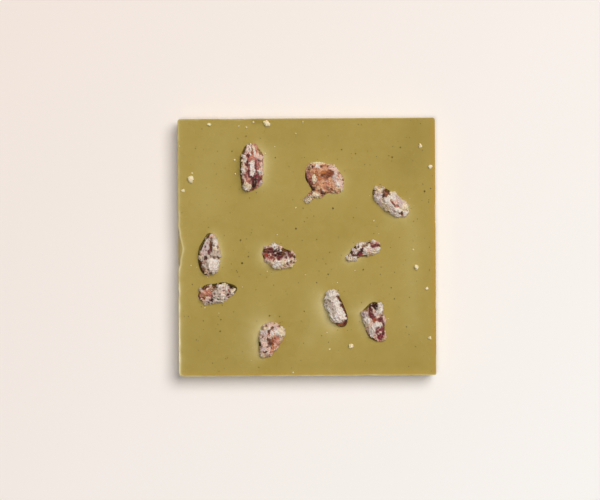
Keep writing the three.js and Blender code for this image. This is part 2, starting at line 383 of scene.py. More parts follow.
def along_nut(finish, stretch):
    """The place on the nut, squeezed lengthways, so that a pattern on it gets longer."""
    inputs = {"Vector": finish.painted("nut_place", "Vector"), "Scale": (1 / stretch, 1, 1)}
    return finish.add("ShaderNodeMapping", inputs).outputs[0]


sugar = Finish(
    "sugar_crust", Roughness=0.6, Subsurface_Weight=0.15, Subsurface_Scale=0.0004,
    Subsurface_Radius=(1.0, 0.8, 0.7), Specular_IOR_Level=0.5,
)
tint = sugar.painted("sugar_tint", "Color")
lengthways = along_nut(sugar, 1.7)
thin = sugar.between(sugar.painted("sugar_depth"), 0.3, 0.0)
crust_colour = sugar.mix(thin, tint, sugar.mix(1.0, tint, ROSY, "MULTIPLY"))
# The pores are darkened with painted shade.
pore_shade = sugar.between(sugar.noise(0.75, 3.0, 0.7, lengthways), 0.48, 0.62)
crust_colour = sugar.mix(pore_shade, crust_colour, sugar.mix(1.0, crust_colour, PORE_SHADE, "MULTIPLY"))
sparkle = sugar.between(sugar.noise(0.5, 2.0, 0.7, lengthways), 0.54, 0.66, 0.0, 0.35)
crust_colour = sugar.mix(sparkle, crust_colour, CRYSTAL)
crust_surface = sugar.bump(sugar.noise(0.28, detail=2.0), 0.12)
sugar_finish = sugar.finish(Base_Color=crust_colour, Normal=crust_surface)

# %% [markdown]
# ### Nut skin
# The kernel under the sugar keeps its thin skin, burgundy to brown, and salmon where it has
# rubbed off. Its colour is painted on the mesh as "skin_tint". It is darker in its grooves, and
# crystals too small to model cling to it in streaks.

# %% Skin finish
DARK_SKIN = colour(70, 32, 26)
FINE_SUGAR = colour(214, 164, 148)

skin = Finish("nut_skin", Roughness=0.45, Specular_IOR_Level=0.45, Subsurface_Weight=0.08,
              Subsurface_Scale=0.0006)
lengthways = along_nut(skin, 2.2)
grooves = skin.between(skin.noise(0.9, 3.0, 0.65, lengthways), 0.45, 0.62, 0.0, 0.55)
dusting = skin.between(skin.noise(0.5, 3.0, 0.7, lengthways), 0.54, 0.64, 0.0, 0.42)
skin_colour = skin.mix(grooves, skin.painted("skin_tint", "Color"), DARK_SKIN)
skin_colour = skin.mix(dusting, skin_colour, FINE_SUGAR)
wrinkles = skin.bump(skin.noise(0.6, detail=3.0), 0.12)
skin_finish = skin.finish(Base_Color=skin_colour, Normal=wrinkles)

# %% [markdown]
# ### Small things
# Crumbs of sugar and dark flecks of ground pistachio skin are too small to need a painted
# colour: noise makes each one differ. Single grains of sugar take the crust's colour, brighter
# here and there.

# %% Finishes of the small things
crumb = Finish("sugar_crumb", Roughness=0.6, Subsurface_Weight=0.08, Subsurface_Scale=0.0005)
crumb_mix = crumb.between(crumb.noise(1.3, detail=3.0), 0.38, 0.62)
crumb_colour = crumb.mix(crumb_mix, colour(244, 226, 170), colour(246, 232, 206))
crumb_bump = crumb.bump(crumb.noise(0.3), 0.1)
crumb_finish = crumb.finish(Base_Color=crumb_colour, Normal=crumb_bump)

fleck = Finish("pistachio_fleck", Roughness=0.5)
fleck_mix = fleck.between(fleck.noise(5.0, detail=2.0), 0.35, 0.65)
fleck_colour = fleck.mix(fleck_mix, colour(84, 70, 26), colour(112, 92, 40))
fleck_finish = fleck.finish(Base_Color=fleck_colour)

grain = Finish("sugar_grain", Roughness=0.35, Subsurface_Weight=0.2, Subsurface_Scale=0.0003)
grain_mix = grain.between(grain.noise(0.6, detail=2.0), 0.4, 0.6, 0.1, 0.6)
grain_colour = grain.mix(grain_mix, grain.painted("sugar_tint", "Color"), CRYSTAL)
grain_finish = grain.finish(Base_Color=grain_colour)

# %% [markdown]
# ## The slab
# The slab starts as the outline of its poured face: a square whose four corners are bevelled,
# each by its own radius, as none of them left the mould alike. Its long sides are cut into equal
# parts and the outline is filled with a grid, fine enough to carry waves and a lip.

# %% Poured face
CORNER_RADII = {(-1, 1): 1.0, (1, 1): 1.0, (-1, -1): 1.6, (1, -1): 0.7}
CORNER_STEPS = 6
SIDE_CUTS = (57, 3)  # each part is cut again: 58 x 4 parts along a side

bpy.ops.object.select_all(action="DESELECT")
bpy.ops.mesh.primitive_plane_add(size=SIDE * MM, location=(0, 0, FACE * MM))
slab = bpy.context.object
slab.name = "poured_chocolate"
settle(slab)

for towards, radius in CORNER_RADII.items():
    corner = np.array(towards) * SIDE / 2
    pick(slab, np.linalg.norm(places(slab)[:, :2] - corner, axis=1) < MERGE_WITHIN)
    bpy.ops.mesh.bevel(offset=radius * MM, segments=CORNER_STEPS, affect="VERTICES")
    object_mode()

edit_mode()
bpy.ops.mesh.select_all(action="SELECT")
bpy.ops.mesh.delete(type="ONLY_FACE")
object_mode()
at = places(slab)
ends = [tuple(edge.vertices) for edge in slab.data.edges]
long_sides = [bool(np.linalg.norm(at[first] - at[second]) > SIDE / 2) for first, second in ends]
slab.data.vertices.foreach_set("select", np.zeros(len(at), bool))
slab.data.edges.foreach_set("select", long_sides)
edit_mode()
bpy.ops.mesh.select_mode(type="EDGE")
for cuts in SIDE_CUTS:
    bpy.ops.mesh.subdivide(number_cuts=cuts)

side_cells = (SIDE_CUTS[0] + 1) * (SIDE_CUTS[1] + 1) + CORNER_STEPS
bpy.ops.mesh.select_mode(type="VERT")
bpy.ops.mesh.select_all(action="SELECT")
object_mode()
lower_left = int(np.argmin(places(slab)[:, :2].sum(1)))
edit_mode()
outline = bmesh.from_edit_mesh(slab.data)
outline.verts.ensure_lookup_table()
outline.select_history.clear()
outline.select_history.add(outline.verts[lower_left])
bpy.ops.mesh.fill_grid(span=side_cells, offset=0)
bpy.ops.mesh.select_all(action="SELECT")
bpy.ops.mesh.normals_make_consistent(inside=False)
bpy.ops.mesh.select_all(action="DESELECT")
bpy.ops.mesh.select_non_manifold()
object_mode()
face_rim = np.zeros(len(slab.data.vertices), bool)
slab.data.vertices.foreach_get("select", face_rim)
print("face", len(slab.data.polygons), "cells,", int(face_rim.sum()), "rim points")

# %% [markdown]
# Chocolate creeps up the wall of the mould and shrinks back as it sets, which leaves a low, wide
# slope along the rim. The rim is then extruded down in steps that lean in, as the wall of a
# mould does, and round under at the foot. The last loop is filled, and the rim is bevelled by a
# sixth of a millimetre, as no poured edge is a true corner.

# %% Slope, walls and underside
SLOPE_HEIGHT = 0.08
SLOPE_REACH = 2.2
DRAFT = 0.7
FOOT_ROUND = 0.9
WALL_STEPS = 10
FOOT_STEPS = 5
RIM = FACE + SLOPE_HEIGHT
RIM_ROUND = 0.16
RIM_ROUND_STEPS = 3
TOLERANCE = 0.03
LEDGE_DROP = 0.65  # the first loop under the rim, which stays where the rim is broken


def wall_profile():
    """(height, half side) of each loop from the rim down to the underside."""
    def half_side(height):
        return SIDE / 2 - DRAFT * (1 - height / RIM)
    loops = [(RIM - LEDGE_DROP, half_side(RIM - LEDGE_DROP))]
    for step in range(1, WALL_STEPS + 1):
        height = RIM + (FOOT_ROUND - RIM) * step / WALL_STEPS
        loops.append((height, half_side(height)))
    for step in range(1, FOOT_STEPS + 1):
        turn = math.radians(90 * step / FOOT_STEPS)
        height = FOOT_ROUND * (1 - math.sin(turn))
        loops.append((height, half_side(FOOT_ROUND) - FOOT_ROUND * (1 - math.cos(turn))))
    return loops


pull(slab, face_rim, (0, 0, SLOPE_HEIGHT), SLOPE_REACH)
pick(slab, face_rim)
last_height, last_half = RIM, SIDE / 2
for loop_height, loop_half in wall_profile():
    bpy.ops.mesh.extrude_region_move(
        TRANSFORM_OT_translate={"value": (0, 0, (loop_height - last_height) * MM)}
    )
    share = loop_half / last_half
    bpy.ops.transform.resize(value=(share, share, 1), center_override=(0, 0, 0))
    last_height, last_half = loop_height, loop_half
bpy.ops.mesh.edge_face_add()
bpy.ops.mesh.select_all(action="SELECT")
bpy.ops.mesh.normals_make_consistent(inside=False)
object_mode()

pick(slab, np.append(face_rim, np.zeros(len(slab.data.vertices) - len(face_rim), bool)))
bpy.ops.mesh.select_mode(type="EDGE")
bpy.ops.mesh.bevel(offset=RIM_ROUND * MM, segments=RIM_ROUND_STEPS, affect="EDGES")
object_mode()
at = places(slab)
on_face = at[:, 2] > RIM - RIM_ROUND - TOLERANCE  # face and bevel, which keep their order below
low_edge = at[:, 2] < RIM - LEDGE_DROP / 2
print("slab", at.min(0).round(2), at.max(0).round(2), int(on_face.sum()), "face points")

# %% [markdown]
# On the left the rim has broken off: it is pushed in by two millimetres over a length of
# thirteen, with straight flanks and a ragged line. There are shallow nicks at the top and right,
# and a few flat spots. Just below the rim the wall keeps its line, so a sloping ledge is left
# outside each. The wall is hidden while the rim is pulled.

# %% Broken rim
GRIP = 0.5  # points this near to a place are taken hold of
DENTS = [  # x, y, move in x, move in y, reach, falloff
    (-50, -0.6, 1.6, 0, 6.8, "LINEAR"), (-50, -1.4, 0.4, 0, 2.6, "SHARP"),
    (-50, 3.2, 0.3, 0, 1.6, "SMOOTH"), (-50, -6.6, 0.3, 0, 2.4, "SMOOTH"),
    (-50, 6.6, 0.3, 0, 1.6, "SMOOTH"), (-50, 0.9, -0.25, 0, 1.2, "SMOOTH"),
    (-50, -17.5, 0.15, 0, 2.2, "SMOOTH"), (-50, 12.0, 0.12, 0, 3.0, "SMOOTH"),
    (-30.5, 50, 0, -0.3, 3.4, "SMOOTH"), (-26.0, 50, 0, -0.42, 3.0, "SMOOTH"),
    (50, 14.8, -0.4, 0, 2.6, "SMOOTH"), (50, 11.2, -0.3, 0, 2.4, "SMOOTH"),
    (50, -22.0, -0.15, 0, 3.0, "SMOOTH"), (24.0, -50, 0, 0.15, 3.5, "SMOOTH"),
]


def pull_on_face(x, y, move, reach, falloff="SMOOTH"):
    """Pulls the face at one place, with the walls hidden."""
    beside = np.linalg.norm(places(slab)[:, :2] - np.array([x, y]), axis=1) < GRIP
    pull(slab, beside & on_face, move, reach, falloff)


pick(slab, low_edge)
bpy.ops.mesh.hide()
object_mode()
for x, y, move_x, move_y, reach, falloff in DENTS:
    pull_on_face(x, y, (move_x, move_y, 0), reach, falloff)

# %% [markdown]
# The poured face is never quite flat. Tapping the mould leaves slow swells and hollows, pulled
# here where the photograph shows them by their sheen, over a faint all-over ripple.

# %% Swells and hollows
SWELLS = [  # x, y, height, reach
    (-33, 27, -0.16, 11), (-41, 36, 0.06, 6), (43, 3, -0.1, 8), (43, -12, -0.08, 8),
    (-31, -29, -0.12, 6), (-38, -35, 0.1, 7), (-5, 12, 0.06, 12), (12, 9, -0.06, 10),
    (0, -40, -0.08, 10), (20, -42, 0.06, 9), (-28, -44, 0.06, 9), (-2, 42, -0.06, 9),
    (24, -14, 0.08, 9), (0, -14, -0.06, 9), (33, 40, 0.05, 12),
]
RIPPLE_HEIGHT = 0.05
RIPPLE_SIZE = 9.0
RIM_CALM = 3  # the ripple fades out over this width at the rim

for x, y, height, reach in SWELLS:
    pull_on_face(x, y, (0, 0, height), reach)
edit_mode()
bpy.ops.mesh.reveal(select=False)
object_mode()

at = places(slab)
slab_edges = np.array([tuple(edge.vertices) for edge in slab.data.edges])
beside_wall = np.zeros(len(at), bool)
for upper, lower in ((0, 1), (1, 0)):
    crossing = on_face[slab_edges[:, upper]] & low_edge[slab_edges[:, lower]]
    beside_wall[slab_edges[crossing][:, upper]] = True
rim_tree = KDTree(int(beside_wall.sum()))
for index in np.nonzero(beside_wall)[0]:
    rim_tree.insert((at[index][0], at[index][1], 0), int(index))
rim_tree.balance()
inwards = np.array([rim_tree.find((x, y, 0))[2] for x, y, z in at])
paint_group(slab, "poured_face", np.where(on_face, np.clip(inwards / RIM_CALM, 0, 1), 0))
relief(slab, clouds("ripples", RIPPLE_SIZE, 1), RIPPLE_HEIGHT, direction="Z",
       vertex_group="poured_face")
print("rim", int(beside_wall.sum()), "points, face from",
      places(slab)[on_face, 2].min().round(2), "to", places(slab)[:, 2].max().round(2))

# %% [markdown]
# At the very edge of the tablet a thin crest stands up: broad at the lower left, thinner along
# the foot, and hardly there on the other two sides. Beside each nut the chocolate either creeps
# up the sugar or sinks as it sets. These are done with Displace modifiers that push straight up
# or down, each on its own painted group of points. Where the face bows towards the light beside
# a nut it is given a painted highlight, a paler halo that fades out over a few millimetres. It is
# worked out here, in the same loop, and painted in the next cell.

# %% Crest and the rise or dip beside each nut
CREST_HEIGHT = 0.34
CREST_WIDTH = 0.6
FOOT_CREST = 0.4  # share of the crest's height on the lower side
FOOT_CREST_WIDTH = 0.22
COLLARS = {  # height and width: the chocolate rises (+) or sinks (-) beside the nut
    "sugared_nut_01": (0.3, 1.9), "sugared_nut_02": (0.22, 1.6), "sugared_nut_03": (-0.12, 1.2),
    "sugared_nut_04": (0.28, 1.6), "sugared_nut_05": (0.1, 1.2), "sugared_nut_06": (-0.15, 1.2),
    "sugared_nut_07": (-0.16, 1.2), "sugared_nut_08": (-0.6, 2.0), "sugared_nut_09": (-0.3, 1.4),
    "sugared_nut_10": (-0.55, 2.3),
}
UNEVEN_SIZE = 3.5  # from one thick place of the crest to the next
RIM_BAND = 8  # a side has its own share of the rim only this near to it
CORNER_BLEND = 6  # two sides pass into each other over this width
CREST_UNEVEN = 0.5
HALO_REACH = 15  # what surrounds a nut is worked out this far from its box
NEVER_ZERO = 0.01
# Painted highlights beside the nuts, on the side where the face bows towards the light.
HALOS = {  # strength, width and direction in degrees of the pale chocolate beside a nut
    "sugared_nut_01": (0.7, 2.0, 5), "sugared_nut_02": (0.25, 1.5, -30),
    "sugared_nut_03": (0.35, 2.2, -60), "sugared_nut_04": (0.55, 1.3, 15),
    "sugared_nut_06": (0.6, 1.6, 190), "sugared_nut_07": (0.5, 1.5, 205),
    "sugared_nut_08": (1.0, 3.0, 200), "sugared_nut_09": (0.75, 1.8, 165),
    "sugared_nut_10": (1.0, 2.8, 165),
}


def solid_tree(piece):
    """A tree that finds the nearest place on a piece."""
    corners = [vertex.co for vertex in piece.data.vertices]
    return BVHTree.FromPolygons(corners, [tuple(face.vertices) for face in piece.data.polygons])


def growing_down(at, middle, length, least, most):
    """A share that grows from the top of the tablet to its foot."""
    return np.clip(middle - at[:, 1] / length, least, most)


at = places(slab)
uneven = np.array([noise.noise(Vector((x, y, 0)) / UNEVEN_SIZE) for x, y, z in at])
from_left = at[:, 0] + SIDE / 2
from_foot = at[:, 1] + SIDE / 2
upper_left = np.clip((from_foot - from_left) / CORNER_BLEND + 0.5, 0, 1)
lower_right = np.clip((from_left - from_foot) / CORNER_BLEND + 0.5, 0, 1)
left_share = upper_left * (from_left < RIM_BAND)
foot_share = lower_right * (from_foot < RIM_BAND)
top_share = upper_left * (from_foot > SIDE - RIM_BAND)
left_crest = growing_down(at, middle=0.55, length=110, least=0.3, most=1)
left_crest *= np.exp(-inwards / CREST_WIDTH)
foot_crest = FOOT_CREST * np.exp(-inwards / FOOT_CREST_WIDTH)
crest = (left_share * left_crest + foot_share * foot_crest) * (1 + CREST_UNEVEN * uneven)
paint_group(slab, "crest", np.where(on_face, np.clip(crest, 0, 1), 0))
modify(slab, "DISPLACE", direction="Z", mid_level=0, strength=CREST_HEIGHT * MM,
       vertex_group="crest")

# halo gathers these painted highlights, which are painted in the next cell.
halo = np.zeros(len(at))
for name, (collar, width) in COLLARS.items():
    tree = solid_tree(frame["nodes"][name])
    low, high = (np.array(corner)[:2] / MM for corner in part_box(name))
    strength, spread, bearing = HALOS.get(name, (0, 1, 0))
    within = (at[:, :2] > low - HALO_REACH) & (at[:, :2] < high + HALO_REACH)
    weights = np.zeros(len(at))
    for index in np.nonzero(on_face & within.all(1))[0]:
        point = Vector(at[index]) * MM
        nearest, normal, _, _ = tree.find_nearest(point)
        outside = max(0.0, (point - nearest).dot(normal)) / MM
        weights[index] = math.exp(-outside / width) * min(1, inwards[index])
        away = at[index, :2] - (low + high) / 2
        facing = max(0.0, float(away @ direction(bearing)) / (np.linalg.norm(away) + NEVER_ZERO))
        halo[index] = max(halo[index], strength * facing * math.exp(-outside / spread))
    paint_group(slab, "beside_" + name, weights)
    modify(slab, "DISPLACE", direction="Z", mid_level=0, strength=collar * MM,
           vertex_group="beside_" + name)
slab.vertex_groups.clear()
print("face", places(slab)[on_face, 2].min().round(2), places(slab)[:, 2].max().round(2))

# %% [markdown]
# The colour changes too: golden at the thin rim, a painted glow of the light that shines
# through it; a pale line on the crest and pale halos beside the nuts, both painted highlights;
# painted shade in the hollows and on the ledge outside the break. The other zones are strokes
# through a few places, each with its strength, its half width and its path, in millimetres on
# the tablet: pale ones of painted sheen, and darker patches that are partly painted shade and
# shadow.

# %% Zones of colour on the face
GOLDEN_WIDTH = 1.6
GOLDEN_SHARE = 0.75
GOLDEN_AT_FOOT = 0.6  # share of it that is left on the lower side
GOLDEN_DROP = 1.6  # it ends this far below the face,
GOLDEN_FADE = 0.8  # fading over this height
# The pale line along the crest is a painted highlight.
CREST_LINE = 0.4  # the pale line on the left crest runs this far in from the rim
CREST_LINE_WIDTH = 0.28
LEFT_FALL = 0.55  # along the left side it also fades slowly inwards
LEFT_FALL_WIDTH = 1.1
FOOT_LINE = 0.85  # strength of the pale line on the lower side
TOP_LINE = 0.3  # and on the upper side
LINE_UNEVEN = 0.8
LEDGE_SHADE = 0.1
LEDGE_LEAST = 0.3  # the ledge is what lies this far outside the broken rim,
LEDGE_DEEPEST = 1.5  # and no further below the face than this
# The pale zones are painted sheen on the face.
PAINTED_SHEEN_ZONES = [  # strength, half width, path
    (0.12, 3.0, 3.4, -31.0, 0.4, -37.0), (0.1, 3.0, -24.0, -36.0, -27.0, -41.0),
    (0.1, 1.8, 36.0, 10.0, 39.4, 12.0), (0.07, 6.0, -38.6, 18.0, -37.0, 32.0, -33.0, 41.0),
    (0.1, 3.4, 40.6, 9.0, 40.4, -30.0), (0.1, 2.4, 31.4, 16.0, 31.4, 8.0),
]
# The dark zones are darker patches, partly painted shade and shadow: painted shadows on the left
# sides of the first nut and of the large crumb at the top, and painted shade in hollows.
DARK_PATCHES_AND_SHADE = [
    (0.12, 11.0, -39.0, -40.0, -20.0, -40.0), (0.08, 8.0, 30.0, -40.0, 40.0, -38.0),
    (0.26, 7.0, 40.0, 33.0, 43.0, 43.0), (0.16, 1.6, -37.0, -27.0, -37.0, -31.0, -34.0, -36.0),
    (0.1, 1.8, -20.0, -45.8, 44.0, -45.8), (0.22, 1.4, -27.0, 26.0, -27.2, 36.0),
    (0.5, 1.1, -20.4, 48.8, -17.2, 48.8), (0.1, 5.0, -14.0, 43.0, -4.0, 42.0),
]


def from_path(at, path):
    """How far each place is from a line through a few points."""
    corners = np.array(path, dtype=float).reshape(-1, 2)
    away = np.linalg.norm(at - corners[0], axis=1)
    for start, end in zip(corners, corners[1:]):
        line = end - start
        share = np.clip(((at - start) @ line) / (line @ line), 0, 1)
        away = np.minimum(away, np.linalg.norm(at - start - share[:, None] * line, axis=1))
    return away


def zone_shares(at, zones):
    """How strongly the zones of one kind colour each place."""
    shares = np.zeros(len(at))
    for strength, half_width, *path in zones:
        shares = np.maximum(shares, strength * np.exp(-((from_path(at, path) / half_width) ** 2)))
    return shares


at = places(slab)
# Painted glow of light through the thin rim: full on the right side, weaker on the lower side, none
# on the left and top.
near_top = np.clip((at[:, 2] - FACE + GOLDEN_DROP) / GOLDEN_FADE, 0, 1)
rim_glow = np.exp(-((inwards / GOLDEN_WIDTH) ** 2)) * near_top * GOLDEN_SHARE
rim_glow = rim_glow * (1 - left_share) * (1 - top_share) * (1 - (1 - GOLDEN_AT_FOOT) * foot_share)
paint_values(slab, "painted_rim_glow", rim_glow)

# Painted highlight along the crest, strongest at the lower left.
left_line = left_share * growing_down(at, middle=0.5, length=100, least=0.2, most=0.8)
left_line *= (np.exp(-(((inwards - CREST_LINE) / CREST_LINE_WIDTH) ** 2))
              + LEFT_FALL * np.exp(-inwards / LEFT_FALL_WIDTH))
other_lines = FOOT_LINE * foot_share + TOP_LINE * top_share
other_lines = other_lines * np.exp(-((inwards / CREST_LINE_WIDTH) ** 2))
rim_line = (left_line + other_lines) * (1 + LINE_UNEVEN * uneven) * on_face
painted_highlight_share = np.maximum(halo, np.maximum(zone_shares(at[:, :2], PAINTED_SHEEN_ZONES), rim_line))
paint_values(slab, "painted_highlight", np.clip(painted_highlight_share, 0, 1))

# The ledge outside a break is given painted shade.
ledge = (~on_face) & (inwards > LEDGE_LEAST) & (at[:, 2] > FACE - LEDGE_DEEPEST)
dark_and_shade_share = np.maximum(zone_shares(at[:, :2], DARK_PATCHES_AND_SHADE), LEDGE_SHADE * ledge)
paint_values(slab, "dark_patches_and_shade", dark_and_shade_share)
print(f"golden up to {rim_glow.max():.2f}, pale {painted_highlight_share.max():.2f}, dark {dark_and_shade_share.max():.2f}")

# %% [markdown]
# Each nut lies in a pocket. The cutter is a smoothed copy of its solid, and a few are shifted
# to one side, where the photograph shows a dark gap beside the nut.

# %% Pockets
POCKET_VOXEL = 0.5
SHARP_FROM = 40  # degrees: an edge that turns more than this stays sharp
GAPS = {  # how far a pocket reaches past its nut, to the right and up
    "sugared_nut_01": (-0.5, 0.0), "sugared_nut_04": (-0.4, 0.3),
    "sugared_nut_05": (0.7, 0.4), "sugared_nut_09": (-0.5, 0.0),
    "sugared_nut_03": (-0.4, 0.2), "sugared_nut_10": (-0.3, 0.0),
}

cutters = bpy.data.collections.new("cutters")
bpy.context.scene.collection.children.link(cutters)
for name in NUTS:
    cutter = copy_of(name, "pocket_" + name)
    modify(cutter, "REMESH", mode="VOXEL", voxel_size=POCKET_VOXEL * MM)
    modify(cutter, "SMOOTH", factor=0.5, iterations=5)
    only(cutter)
    bpy.ops.transform.translate(value=(*(np.array(GAPS.get(name, (0, 0))) * MM), 0))
    settle(cutter)
    for home in list(cutter.users_collection):
        home.objects.unlink(cutter)
    cutters.objects.link(cutter)

modify(slab, "BOOLEAN", operation="DIFFERENCE", operand_type="COLLECTION", collection=cutters,
       solver="MANIFOLD")
for piece in list(cutters.objects):
    bpy.data.objects.remove(piece)
bpy.data.collections.remove(cutters)
only(slab)
bpy.ops.object.shade_smooth_by_angle(angle=math.radians(SHARP_FROM))
slab.data.materials.clear()
slab.data.materials.append(chocolate_finish)
print("slab after cutting:", triangles(slab), "triangles")

# %% [markdown]
# ## The nuts
# No two nuts look alike, so each has a list of strokes: what the photograph shows on it,
# laid on one after another. A stroke is a shade, its half width, and the places it runs through,
# in millimetres to the right and up from the nut's middle. Each shade is a colour and how thick
# the sugar lies there: below nothing, the skin is bare.

# %% Shades
SHADES = {  # red, green, blue, thickness of the sugar
    "white": (236, 225, 215, 0.75), "cream": (236, 217, 186, 0.68), "yellow": (238, 224, 172, 0.62),
    "grey": (200, 184, 170, 0.45), "lilac": (212, 190, 186, 0.5), "pink": (230, 197, 181, 0.45),
    "tan": (216, 182, 144, 0.38), "clay": (176, 142, 114, 0.18), "peach": (220, 163, 123, 0.22),
    "salmon": (220, 156, 130, 0.14), "rose": (190, 122, 112, 0.04), "olive": (148, 120, 66, -0.1),
    "orange": (190, 112, 50, -0.3), "russet": (140, 78, 46, -0.4), "brown": (98, 58, 30, -0.5),
    "black": (46, 22, 15, -0.6), "burgundy": (98, 36, 40, -0.5), "magenta": (134, 46, 60, -0.4),
    "red": (172, 64, 48, -0.4),
}


def shade(name):
    """A shade's light values and the sugar's thickness, in one row."""
    red, green, blue, thickness = SHADES[name]
    return np.array([*colour(red, green, blue)[:3], thickness])


